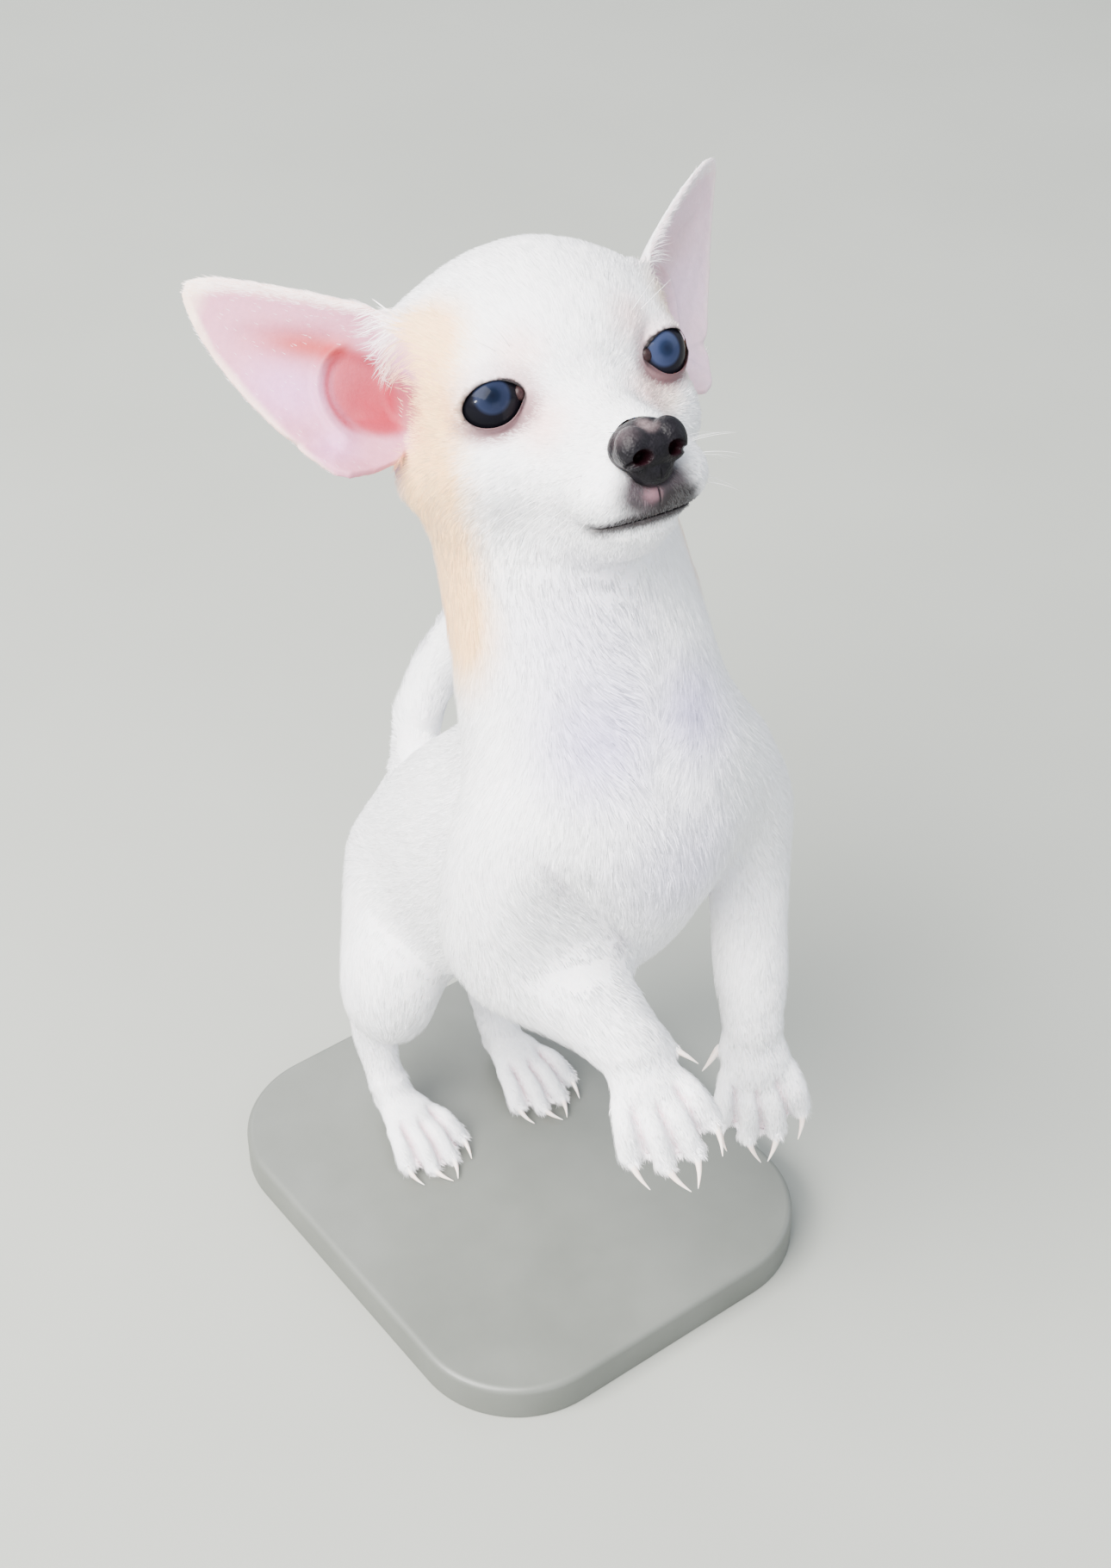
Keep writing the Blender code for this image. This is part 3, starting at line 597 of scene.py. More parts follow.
for side in SIDES:
    mesh = bmesh.new()
    ring = bmesh.ops.create_circle(mesh, segments=48, radius=1.0, cap_ends=True)["verts"]
    for vert in ring:
        x, y = almond(math.atan2(vert.co.y, vert.co.x))
        vert.co = (x * side, y, 1.0)
    tall = bmesh.ops.extrude_face_region(mesh, geom=mesh.faces[:])["geom"]
    raised = [g for g in tall if isinstance(g, bmesh.types.BMVert)]
    bmesh.ops.translate(mesh, verts=raised, vec=(0, 0, 14.0))
    bmesh.ops.transform(mesh, matrix=EYE[side], verts=mesh.verts[:])
    cut(skin, to_object("almond", mesh))
    mesh = bmesh.new()
    ball(mesh, (0, 0, 0), (EYE_RADIUS + 0.12,) * 3, EYE[side], fine=48)
    cut(skin, to_object("socket", mesh))
print("skin after the eye openings has", len(skin.data.polygons), "faces")

# %% Line of the mouth
def surface_bvh(obj):
    """A search tree over the object's faces."""
    return BVHTree.FromObject(obj, bpy.context.evaluated_depsgraph_get())


def lip_point(tree, t, out=0.0):
    """A place on the lips: t runs from the right corner at -1 to the left at 1."""
    angle = t * 1.25
    way = Vector((math.sin(angle), -math.cos(angle), 0.0))
    start = Vector((0, -7.5, -25.2 - 0.9 * t * t))
    place = HEAD @ (start + way * 30.0)
    hit = tree.ray_cast(place, (HEAD.to_3x3() @ -way).normalized())[0]
    spot = HEAD.inverted() @ hit if hit else start + way * 13.0
    return spot + way * out, way


tree = surface_bvh(skin)
LIPS = [lip_point(tree, k / 12) for k in range(-12, 13)]
mesh = bmesh.new()
blade = []
for k, (spot, way) in enumerate(LIPS[1:-1]):
    blade.append((*(spot - way * 0.2), 0.26, 1.1))
tube(mesh, blade, HEAD, side=(0, 0, 1), sides=8)
cut(skin, to_object("mouth", mesh))
mesh = bmesh.new()
groove = ((0.1, -25.5, -17.5, 0.3, 1.2), (0.0, -24.6, -20.5, 0.32, 1.0), (0.0, -24.0, -24.8, 0.3, 0.9))
tube(mesh, groove, HEAD, sides=8)
cut(skin, to_object("philtrum", mesh))
print("mouth from", [round(c, 1) for c in LIPS[0][0]], "to", [round(c, 1) for c in LIPS[-1][0]])

# %% [markdown]
# Colour comes next. The coat is white with a warm apricot wash on the temples,
# cheeks and side of the neck. Bare skin shows pink inside the ears, at the lids and
# between the toes, and a smoky patch lies around the lips. Every mark is a soft
# ellipsoid in the frame it belongs to, so skin and coat can share one function.

# %% Colours of the coat and the skin
WHITE = (0.84, 0.832, 0.86)
APRICOT = (0.93, 0.54, 0.24)
BLUSH = (0.82, 0.52, 0.48)
PAINTED_SHADE_LILAC = (0.52, 0.48, 0.70)
FOLD_SHADE = (0.42, 0.38, 0.44)
EAR_PINK = (0.50, 0.21, 0.30)
EAR_LILAC = (0.54, 0.25, 0.48)
EAR_STREAK = (0.34, 0.038, 0.045)
EAR_CORAL_AND_FOLD_SHADOW = (0.27, 0.013, 0.03)
EAR_DEEP_RED_AND_HOLLOW_SHADE = (0.30, 0.030, 0.05)
EAR_PALE = (0.82, 0.62, 0.52)
EAR_ROOT_SKIN = (0.60, 0.36, 0.42)
LEFT_EAR_MILK = (0.80, 0.68, 0.76)
LIP = (0.020, 0.016, 0.018)
SMOKE = (0.040, 0.030, 0.036)
LID_DARK = (0.012, 0.010, 0.011)
LID_PINK = (0.42, 0.19, 0.21)
LID_RIM_AND_PAINTED_SHADE = (0.13, 0.07, 0.08)


def blend_in(colour, share, other):
    """Mixes a colour into rows of colours by a share for each row."""
    share = np.clip(share, 0.0, 1.0)[:, None]
    return colour * (1.0 - share) + np.array(other) * share


def lip_distance(head):
    """How far each point lies from the line of the lips, in millimetres."""
    best = np.full(len(head), 1e9)
    near = blob(head, (0, -12, -24), (30, 30, 22)) > 0
    for spot, way in LIPS:
        gap = np.linalg.norm(head[near] - np.array(spot), axis=1)
        best[near] = np.minimum(best[near], gap)
    return best


def lip_marks(colour, head):
    """The smoky muzzle under the nose and the dark line of the lips."""
    away = lip_distance(head)
    front = ramp_up(-head[:, 1], 8.0, 17.0)
    pad = ramp_up(blob(head, (-0.6, -25.0, -20.0), (14.5, 11.0, 10.0)), 0.12, 0.7)
    colour = blend_in(colour, pad, SMOKE)
    colour = blend_in(colour, front * (1 - ramp_up(away, 1.2, 4.2)), SMOKE)
    low = ramp_up(blob(head, (4.0, -24.0, -23.5), (10.5, 8.0, 6.0)), 0.2, 0.7)
    colour = blend_in(colour, low, LIP)
    colour = blend_in(colour, (0.3 + 0.7 * front) * (1 - ramp_up(away, 0.8, 2.7)), LIP)
    return blend_in(colour, 0.9 * blob(head, (-1.6, -25.5, -20.8), (3.2, 3.4, 3.0)), (0.26, 0.13, 0.16))


def coat_colour(points, normals):
    """The linear colour of the coat at each place, with painted shade in the chest's hollows, on the neck
    and along the creases.
    """
    head, dog = seen_from(points, HEAD), seen_from(points, DOG)
    colour = np.tile(np.array(WHITE), (len(points), 1))
    for centre, radii, share in (
        ((-25, 9, 15), (13, 16, 15), 0.9),
        ((-29, 12, 2), (14, 18, 18), 1.0),
        ((-30, 14, -12), (13, 19, 20), 1.0),
        ((-28, 22, -24), (13, 18, 18), 1.0),
        ((-26, 25, -40), (12, 18, 24), 1.0),
        ((28, 12, 2), (14, 18, 18), 0.6),
        ((29, 18, -16), (13, 18, 22), 0.6),
        ((27, 24, -36), (12, 18, 24), 0.5),
        ((16, -4, -6), (9, 9, 8), 0.35),
    ):
        colour = blend_in(colour, share * np.clip(1.7 * blob(head, centre, radii), 0, 1), APRICOT)
    for side in SIDES:
        colour = blend_in(colour, 0.6 * blob(head, mirror((12, -3, 8), side), (9, 9, 8)), BLUSH)
        colour = blend_in(colour, 0.75 * blob(head, mirror((11, -5, -6), side), (9, 9, 9)), BLUSH)
    # Painted shade: a bluish lilac in the hollows beside the breastbone, under the chest, on the neck and on
    # the left arm, where soft shadow falls.
    for centre, reach, share in (
        ((13.5, -52.5, 168.5), 18, 1.0),
        ((-11.0, -50.0, 169.5), 20, 1.0),
        ((0, -66, 144), 24, 0.5),
        ((-8, -43, 187), 26, 0.5),
        ((24, -52, 112), 14, 0.12),
    ):
        colour = blend_in(colour, share * blob(dog, centre, (reach,) * 3), PAINTED_SHADE_LILAC)
    # Painted shade: a darker grey along the creases between the chest and the right foreleg.
    for start, end, width, deep in CREASES:
        colour = blend_in(colour, 0.28 * deep * bell(line_gap(dog, start, end), 1.9), FOLD_SHADE)
    return lip_marks(colour, head)


def lid_marks(colour, points):
    """The dark rim of the lids, a painted shade under each eye and the pink skin around it."""
    for side in SIDES:
        reach, turn, front = lid_reach(points, side)
        inner, lower = np.clip(-np.cos(turn), 0, 1) ** 3, np.clip(-np.sin(turn), 0, 1)
        pink = (1 - ramp_up(reach, 1.2, 2.05 + 0.2 * lower)) * front
        colour = blend_in(colour, (0.35 + 0.45 * lower + 0.3 * inner) * pink, LID_PINK)
        # Painted shade: a dark pinkish patch right under each eye, on the lower lid.
        under = (1 - ramp_up(reach, 1.25, 1.95)) * np.sqrt(lower) * front
        colour = blend_in(colour, 0.95 * under, LID_RIM_AND_PAINTED_SHADE)
        edge = 1.03 + 0.05 * inner
        rim = (1 - ramp_up(reach, edge, edge + 0.08)) * front
        colour = blend_in(colour, rim, LID_RIM_AND_PAINTED_SHADE)
        colour = blend_in(colour, rim * np.clip(1.15 - lower, 0, 1), LID_DARK)
    return colour


def ear_marks(colour, points, normals):
    """Pink, lilac and coral inside each ear, a pale rim, painted shade in the hollow and a painted shadow
    line along the fold.
    """
    for side in SIDES:
        ear = seen_from(points, EAR[side]) * (side, 1, 1)
        facing = normals @ np.array(EAR[side].to_3x3().col[1].normalized())
        along, flat, hollow = ear[:, 2] / EAR_LENGTH, ear[:, (0, 2)], canal(ear)
        mine = seen_from(points, HEAD)[:, 0] * side
        cup = ramp_up(facing, -0.15, 0.25) * ramp_up(mine, 25.0, 28.5) * ramp_up(along, -0.22, -0.1)
        cup *= 1 - ramp_up(ear[:, 0] - ear[:, 2] * 0.2, 8.0, 12.0) * ramp_up(-ear[:, 2], -9.0, -4.0)
        width = np.interp(along, (-0.1, 0.3, 0.77, 1.0), (17, 11.5, 6.0, 1.0))
        rear = -np.interp(along, (-0.1, 0.0, 0.3, 0.55, 0.77, 1.0), (19, 21, 18.5, 14.5, 10, 1.4))
        colour = blend_in(colour, cup, EAR_PINK)
        colour = blend_in(colour, 0.9 * cup * blob(ear, (-10, 3, 20), (10, 12, 15)), EAR_LILAC)
        colour = blend_in(colour, 0.7 * cup * blob(ear, (-15, 9, 6), (7, 10, 8)), EAR_LILAC)
        streak = bell(line_gap(flat, (0.8, 13.0), (-3.5, 32.0)), 3.3) * (1 - ramp_up(ear[:, 2], 20.0, 38.0))
        colour = blend_in(colour, 1.0 * cup * streak, EAR_STREAK)
        # The hollow is painted a deep red: partly the skin's own colour, partly painted shade in the recess.
        inside = (1 - ramp_up(hollow, 0.8, 1.06)) * (1 - ramp_up(ear[:, 0], 1.0, 5.0))
        colour = blend_in(colour, 0.92 * cup * inside, EAR_DEEP_RED_AND_HOLLOW_SHADE)
        colour = blend_in(colour, 1.2 * cup * inside * blob(ear, (-5.5, 2, 2), (9, 12, 11)), EAR_CORAL_AND_FOLD_SHADOW)
        # Painted shadow: a thin dark coral line just inside the edge of the fold, where it overhangs the
        # hollow.
        fold = bell(hollow - 0.97, 0.05) * (1 - ramp_up(ear[:, 0], -3.0, 2.0)) * ramp_up(ear[:, 2], 1.0, 7.0)
        colour = blend_in(colour, 0.75 * cup * fold, EAR_CORAL_AND_FOLD_SHADOW)
        edge = ramp_up(ear[:, 0] - width, -3.5, -0.5) + ramp_up(rear - ear[:, 0], -2.0, -0.4)
        colour = blend_in(colour, 0.7 * cup * (edge + ramp_up(along, 0.86, 0.97)), EAR_PALE)
        colour = blend_in(colour, 0.8 * blob(ear, (8, 5, 1), (10, 9, 11)), EAR_ROOT_SKIN)
        if side == 1:
            colour = blend_in(colour, 0.6 * cup, LEFT_EAR_MILK)
    return colour


def skin_colour(points, normals):
    """The coat's colour with the bare skin of ears, lids and toes on top."""
    colour = coat_colour(points, normals)
    colour = blend_in(colour, 0.8 * toe_groove(points), (0.55, 0.30, 0.36))
    colour = ear_marks(colour, points, normals)
    return lid_marks(colour, points)


def paint(obj, colours):
    """Keeps a colour for each vertex in the attribute named tint."""
    layer = obj.data.color_attributes.new("tint", "FLOAT_COLOR", "POINT")
    full = np.ones((len(colours), 4), np.float32)
    full[:, :3] = colours
    layer.data.foreach_set("color", full.ravel())


paint(skin, skin_colour(points_of(skin), normals_of(skin)))
print("painted", len(skin.data.vertices), "points of the skin")

# %% [markdown]
# Materials are built from nodes. One small helper makes a Principled shader with its fixed values set
# straight on the sockets, and others add a noise, a ramp, a bump and the tint.
# The skin and the coat both read the tint attribute, so their marks agree.

# %% Material helpers
def principled(name, **values):
    """A material with a Principled shader and fixed values on its sockets."""
    material = bpy.data.materials.new(name)
    material.use_nodes = True
    shader = material.node_tree.nodes["Principled BSDF"]
    for key, value in values.items():
        shader.inputs[key.replace("_", " ")].default_value = value
    return material, material.node_tree, shader


def noise(tree, scale, detail=3.0, rough=0.5, stretch=None):
    """A noise in object coordinates, stretched along an axis if asked."""
    where = tree.nodes.new("ShaderNodeTexCoord").outputs["Object"]
    if stretch:
        mapping = tree.nodes.new("ShaderNodeMapping")
        mapping.inputs["Scale"].default_value = stretch
        tree.links.new(where, mapping.inputs["Vector"])
        where = mapping.outputs["Vector"]
    made = tree.nodes.new("ShaderNodeTexNoise")
    made.inputs["Scale"].default_value = scale
    made.inputs["Detail"].default_value = detail
    made.inputs["Roughness"].default_value = rough
    tree.links.new(where, made.inputs["Vector"])
    return made.outputs["Fac"]


def ramp(tree, value, *stops):
    """A colour ramp over a value: each stop is a place and a colour."""
    made = tree.nodes.new("ShaderNodeValToRGB")
    points = made.color_ramp.elements
    while len(points) < len(stops):
        points.new(0.5)
    for point, (place, colour) in zip(points, stops):
        point.position = place
        point.color = (*colour, 1.0)
    tree.links.new(value, made.inputs["Fac"])
    return made.outputs["Color"]


def bump(tree, shader, height, strength, distance):
    """Bends the shading by a height, in millimetres."""
    made = tree.nodes.new("ShaderNodeBump")
    made.inputs["Strength"].default_value = strength
    made.inputs["Distance"].default_value = distance * MM
    tree.links.new(height, made.inputs["Height"])
    tree.links.new(made.outputs["Normal"], shader.inputs["Normal"])


def tinted(tree, shader, low, high, fac):
    """The tint attribute, made a little lighter and darker by a factor."""
    tint = tree.nodes.new("ShaderNodeAttribute")
    tint.attribute_name = "tint"
    shade = ramp(tree, fac, (0.3, (low,) * 3), (0.7, (high,) * 3))
    mix = tree.nodes.new("ShaderNodeMix")
    mix.data_type = "RGBA"
    mix.blend_type = "MULTIPLY"
    mix.inputs["Factor"].default_value = 1.0
    tree.links.new(tint.outputs["Color"], mix.inputs["A"])
    tree.links.new(shade, mix.inputs["B"])
    tree.links.new(mix.outputs["Result"], shader.inputs["Base Color"])


# %% Skin material
skin_look, nodes, shader = principled(
    "skin_and_down", Roughness=0.65, Specular_IOR_Level=0.25, Subsurface_Weight=0.12, Subsurface_Scale=0.0015
)
shader.inputs["Subsurface Radius"].default_value = (1.0, 0.4, 0.25)
tinted(nodes, shader, 0.93, 1.03, noise(nodes, 900.0, 4.0))
bump(nodes, shader, noise(nodes, 1800.0, 4.0, 0.6), 0.35, 0.25)
FLESH = BROAD + FINE
finish_piece(skin, "coat", skin_look, *FLESH)

# %% [markdown]
# The eyes are dark and glossy. Their slate blue haze is partly the colour of a young puppy's iris and partly
# a painted reflection of the sky, painted lighter in the left eye than in the right. A real eye is a ball
# with a clear bulge in front, so we pull the front of the ball out a little. The iris is painted by the
# distance from the gaze's point on the ball. Each eye looks near the viewer, so that point isn't in the
# middle of the lids.

# %% Eyes
GAZE = {1: (-0.20, 0.10, 1.0), -1: (0.06, 0.20, 1.0)}
# Painted reflection: the slate blue of the iris stands partly for the sky seen in the eye, and each eye's
# factor lightens it, the left far more.
IRIS_PAINTED_REFLECTION = {1: 2.6, -1: 1.2}
IRIS = (
    (0.0, (0.002, 0.003, 0.007)),
    (0.12, (0.003, 0.005, 0.012)),
    (0.20, (0.0075, 0.0105, 0.023)),
    (0.32, (0.010, 0.0135, 0.029)),
    (0.40, (0.003, 0.003, 0.005)),
    (1.0, (0.0015, 0.0015, 0.0015)),
)


def eye_look(side, spot):
    """Glossy dark eye: pupil, slate iris with a painted sky reflection and black surround about one spot."""
    material, tree, shader = principled(
        f"eye_{SIDES[side]}", Roughness=0.25, Specular_IOR_Level=0.02, Coat_Weight=0.055, Coat_Roughness=0.03
    )
    where = tree.nodes.new("ShaderNodeTexCoord").outputs["Object"]
    gap = tree.nodes.new("ShaderNodeVectorMath")
    gap.operation = "DISTANCE"
    gap.inputs[1].default_value = spot
    tree.links.new(where, gap.inputs[0])
    scaled = tree.nodes.new("ShaderNodeMath")
    scaled.operation = "MULTIPLY"
    scaled.inputs[1].default_value = 1.0 / (10.0 * MM)
    tree.links.new(gap.outputs["Value"], scaled.inputs[0])
    stops = [(place, [c * IRIS_PAINTED_REFLECTION[side] for c in shade]) for place, shade in IRIS]
    colour = ramp(tree, scaled.outputs[0], *stops)
    tree.links.new(colour, shader.inputs["Base Color"])
    bump(tree, shader, noise(tree, 2500.0), 0.02, 0.05)
    return material


for side in SIDES:
    mesh = bmesh.new()
    made = bmesh.ops.create_icosphere(mesh, subdivisions=5, radius=EYE_RADIUS - 0.12)["verts"]
    gaze = Vector(GAZE[side]).normalized() * 1.0
    gaze.x *= side
    for vert in made:
        ahead = max(0.0, vert.co.normalized().dot(gaze))
        vert.co += vert.co.normalized() * 0.45 * ahead**12
    bmesh.ops.transform(mesh, matrix=EYE[side], verts=mesh.verts[:])
    eye = to_object(f"eyeball_{SIDES[side]}", mesh)
    spot = EYE[side] @ (gaze * (EYE_RADIUS + 0.3))
    finish_piece(eye, "eye", eye_look(side, spot), f"eye_{SIDES[side]}")

# %% [markdown]
# In the inner corner of each eye sits a small moist bump, the caruncle. Without it
# the lids would leave a dry gap beside the ball.

# %% Caruncles
tear_look, nodes, shader = principled("moist_pink", Roughness=0.5, Specular_IOR_Level=0.2, Coat_Weight=0.04, Coat_Roughness=0.1)
moist = ramp(nodes, noise(nodes, 1500.0), (0.3, (0.012, 0.005, 0.006)), (0.7, (0.024, 0.009, 0.010)))
nodes.links.new(moist, shader.inputs["Base Color"])
for side in SIDES:
    mesh = bmesh.new()
    ball(mesh, mirror((-5.0, 0.4, 4.9), side), (1.2, 1.6, 1.4), EYE[side], turn=(0, 30 * side, 0))
    finish_piece(to_object(f"caruncle_{SIDES[side]}", mesh), "eye", tear_look)

# %% [markdown]
# The nose leather is a rounded pad, wider above than below, with a pebbled skin.
# Balls joined by a remesh give the pad, and two curved tubes cut the nostrils with
# their side slits. A shallow groove runs down the middle to meet the lip.

# %% Nose
NOSE = Vector((-0.6, -25.0, -12.0))
mesh = bmesh.new()
ball(mesh, NOSE, (7.1, 4.9, 4.2), HEAD, fine=40)
ball(mesh, NOSE + Vector((0, 0.8, -3.0)), (4.5, 4.3, 4.4), HEAD, fine=32)
ball(mesh, NOSE + Vector((0, 2.5, 0.3)), (6.9, 5.0, 5.0), HEAD, fine=32)
for side in SIDES:
    ball(mesh, NOSE + mirror((3.7, -1.3, 0.7), side), (3.5, 3.6, 4.3), HEAD, fine=32)
nose = fuse(to_object("nose_leather", mesh), 0.3, 6)
for side in SIDES:
    mesh = bmesh.new()
    pit = (
        (3.8 * side - 0.6, -33.0, -12.6, 2.3, 1.9),
        (3.6 * side - 0.6, -29.6, -12.8, 2.1, 1.6),
        (3.0 * side - 0.6, -26.5, -13.0, 1.4, 1.1),
        (2.6 * side - 0.6, -25.0, -13.0, 0.5, 0.5),
    )
    tube(mesh, pit, HEAD, sides=16)
    cut(nose, to_object("nostril", mesh))
    mesh = bmesh.new()
    slit = (
        (4.2 * side - 0.6, -30.5, -13.2, 1.0, 1.2),
        (6.0 * side - 0.6, -28.2, -13.9, 0.8, 1.1),
        (7.2 * side - 0.6, -25.8, -14.2, 0.3, 0.6),
    )
    tube(mesh, slit, HEAD, side=(0, 0, 1), sides=12)
    cut(nose, to_object("slit", mesh))
mesh = bmesh.new()
cleft = ((-0.6, -31.0, -10.0, 0.25, 0.5), (-0.6, -30.4, -13.5, 0.35, 0.7), (-0.5, -28.0, -18.0, 0.35, 0.9))
tube(mesh, cleft, HEAD, sides=10)
cut(nose, to_object("cleft", mesh))
soften = nose.modifiers.new("soften", "SMOOTH")
soften.factor = 0.5
soften.iterations = 2
bake(nose)
print("nose has", len(nose.data.polygons), "faces")

# %% Nose material
def nose_colour(points):
    """Charcoal leather with a paler top notch, a painted soft highlight on the top of its right lobe and
    dark red pits.
    """
    head = seen_from(points, HEAD)
    colour = np.tile(np.array((0.005, 0.0045, 0.006)), (len(points), 1))
    colour = blend_in(colour, 1.2 * blob(head, (-0.5, -27.0, -6.8), (2.6, 5.0, 3.0)), (0.13, 0.095, 0.10))
    # Painted highlight: a lighter grey on the top of the right lobe.
    colour = blend_in(colour, 0.7 * blob(head, (-5.5, -26.0, -8.0), (5.0, 5.0, 4.0)), (0.06, 0.047, 0.052))
    for side in SIDES:
        pit = blob(head, (3.3 * side - 0.6, -27.2, -12.8), (2.8, 4.6, 2.4))
        colour = blend_in(colour, 1.6 * pit, (0.016, 0.002, 0.004))
    return colour


paint(nose, nose_colour(points_of(nose)))
nose_look, nodes, shader = principled("nose_leather", Roughness=0.42, Specular_IOR_Level=0.10)
tinted(nodes, shader, 0.75, 1.35, noise(nodes, 1100.0, 3.0))
cells = nodes.nodes.new("ShaderNodeTexVoronoi")
cells.inputs["Scale"].default_value = 1700.0
nodes.links.new(nodes.nodes.new("ShaderNodeTexCoord").outputs["Object"], cells.inputs["Vector"])
bump(nodes, shader, cells.outputs["Distance"], 0.5, 0.2)
finish_piece(nose, "nose", nose_look, "nose")

# %% [markdown]
# The claws keep the CAD's curve. A coarse six-sided loft would show its corners up close, so each claw is a
# merged copy of its node with a Subdivision modifier. The horn is pale and lets some light through, with a
# hint of pink.

# %% Claws
claw_look, nodes, shader = principled(
    "claw_horn", Roughness=0.3, Subsurface_Weight=0.25, Subsurface_Scale=0.001, Coat_Weight=0.2
)
shader.inputs["Subsurface Radius"].default_value = (1.0, 0.5, 0.4)
horn = ramp(nodes, noise(nodes, 500.0), (0.3, (0.86, 0.70, 0.64)), (0.7, (0.90, 0.80, 0.74)))
nodes.links.new(horn, shader.inputs["Base Color"])
bump(nodes, shader, noise(nodes, 2200.0), 0.15, 0.1)
for name in sorted(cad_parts):
    if name.startswith("claw"):
        mesh = bmesh.new()
        mesh.from_mesh(copy_of(name, 0.0))
        claw = to_object("horn" + name[4:], mesh)
        rounder = claw.modifiers.new("rounder", "SUBSURF")
        rounder.levels = rounder.render_levels = 2
        bake(claw)
        finish_piece(claw, "claw", claw_look, name)

# %% [markdown]
# The base is a painted board such as a museum uses: plain, satin and a little darker than the floor, so that
# the white paws read against it. Its corners are bevelled in plan first, and then the upper edge gets a fine
# round.

# %% Display base
mesh = bmesh.new()
size = Matrix.Diagonal((*(v * MM for v in BASE_SIZE), 1.0))
lift = Matrix.Translation((0, 0, BASE_SIZE[2] * MM / 2))
bmesh.ops.create_cube(mesh, size=1.0, matrix=lift @ size)
upright = [e for e in mesh.edges if abs((e.verts[0].co - e.verts[1].co).z) > MM]
round_over = {"profile": 0.5, "affect": "EDGES", "material": -1}
bmesh.ops.bevel(mesh, geom=upright, offset=BASE_CORNER * MM, segments=24, **round_over)
top = [e for e in mesh.edges if all(v.co.z > 9.9 * MM for v in e.verts)]
bmesh.ops.bevel(mesh, geom=top, offset=1.6 * MM, segments=5, **round_over)
low = [e for e in mesh.edges if all(v.co.z < 0.01 * MM for v in e.verts)]
bmesh.ops.bevel(mesh, geom=low, offset=0.6 * MM, segments=3, **round_over)
board = to_object("display_board", mesh)
base_look, nodes, shader = principled("satin_paint", Roughness=0.42)
shade = ramp(nodes, noise(nodes, 60.0, 5.0), (0.3, (0.105, 0.112, 0.10)), (0.7, (0.125, 0.132, 0.12)))
nodes.links.new(shade, shader.inputs["Base Color"])
bump(nodes, shader, noise(nodes, 700.0, 3.0), 0.12, 0.2)
finish_piece(board, "base", base_look, "stand_base")
board.data.polygons.foreach_set("use_smooth", [abs(p.normal.z) < 0.99 for p in board.data.polygons])

# %% [markdown]
# Now the coat. Short hair lies flat and follows the flow of growth: from the nose
# back over the skull, down the neck and chest, along the trunk to the tail, and down
# each limb. We describe that flow with a few bones. Each place on the skin takes the
# direction of the bones nearest to it, which is then laid into the skin's own plane.

# %% Flow of the coat
BONES = (
    ((9, -6, 200), (2, -40, 142), 27, 3.8),
    ((1, -36, 140), (3, 0, 100), 30, 4.2),
    ((3, 0, 100), (6, 38, 80), 26, 4.0),
    ((22, -42, 149), (35, -44, 118), 13, 3.4),
    ((35, -44, 118), (28, -57, 90), 9.5, 2.6),
    ((28, -57, 90), (24, -66, 72), 8.5, 1.9),
    ((24, -66, 72), (19, -74, 52), 8.0, 1.3),
    ((-20, -40, 146), (-26, -38, 112), 14, 3.6),
    ((-27, -44, 134), (-18, -60, 112), 14, 2.9),
    ((-26, -38, 114), (-17, -62, 105), 11, 2.6),
    ((-17, -62, 103), (-16, -74, 97), 8.5, 1.9),
    ((-16, -74, 97), (-17, -90, 86), 8.0, 1.3),
    ((22, 20, 73), (26, 9, 60), 15, 3.4),
    ((26, 9, 60), (18, 32, 34), 9, 2.8),
    ((18, 32, 34), (18, 26, 8), 6, 1.8),
    ((18, 26, 6), (18, 2, 3), 6, 1.2),
    ((-14, 20, 72), (-24, 9, 62), 15, 3.4),
    ((-24, 9, 62), (-16, 32, 34), 9, 2.8),
    ((-16, 32, 34), (-16, 26, 8), 6, 1.8),
    ((-16, 26, 6), (-16, 2, 3), 6, 1.2),
    ((7, 41, 85), (14.5, 43, 118), 7, 4.4),
    ((14.5, 43, 118), (14, 18, 159), 6, 4.2),
)
HEAD_REACH, HEAD_HAIR = 30.0, 2.5


def near_bones(points):
    """The way of growth and the length of hair at each place, from the nearest bones."""
    dog, head = seen_from(points, DOG), seen_from(points, HEAD)
    way, length, total = np.zeros_like(points), np.zeros(len(points)), np.zeros(len(points))
    for start, end, radius, hair in BONES:
        a, b = np.array(start, float), np.array(end, float)
        along = b - a
        t = np.clip((dog - a) @ along / (along @ along), 0, 1)
        gap = np.linalg.norm(dog - (a + t[:, None] * along), axis=1) / radius
        share = 1.0 / np.maximum(gap, 0.2) ** 6
        way += unit(along) * share[:, None]
        length += hair * share
        total += share
    turned = np.array(HEAD.to_3x3()) / MM
    gap = np.linalg.norm((head - np.array((0, 12, -4))) / (1.0, 1.15, 1.0), axis=1) / HEAD_REACH
    share = 2.0 / np.maximum(gap, 0.3) ** 7
    way += (unit(head - np.array((0, -27, -10))) @ turned.T) * share[:, None]
    return unit(way), (length + HEAD_HAIR * share) / (total + share)


def tip_front(side):
    """The way one ear's cup faces."""
    return np.array(EAR[side].to_3x3().col[1].normalized())


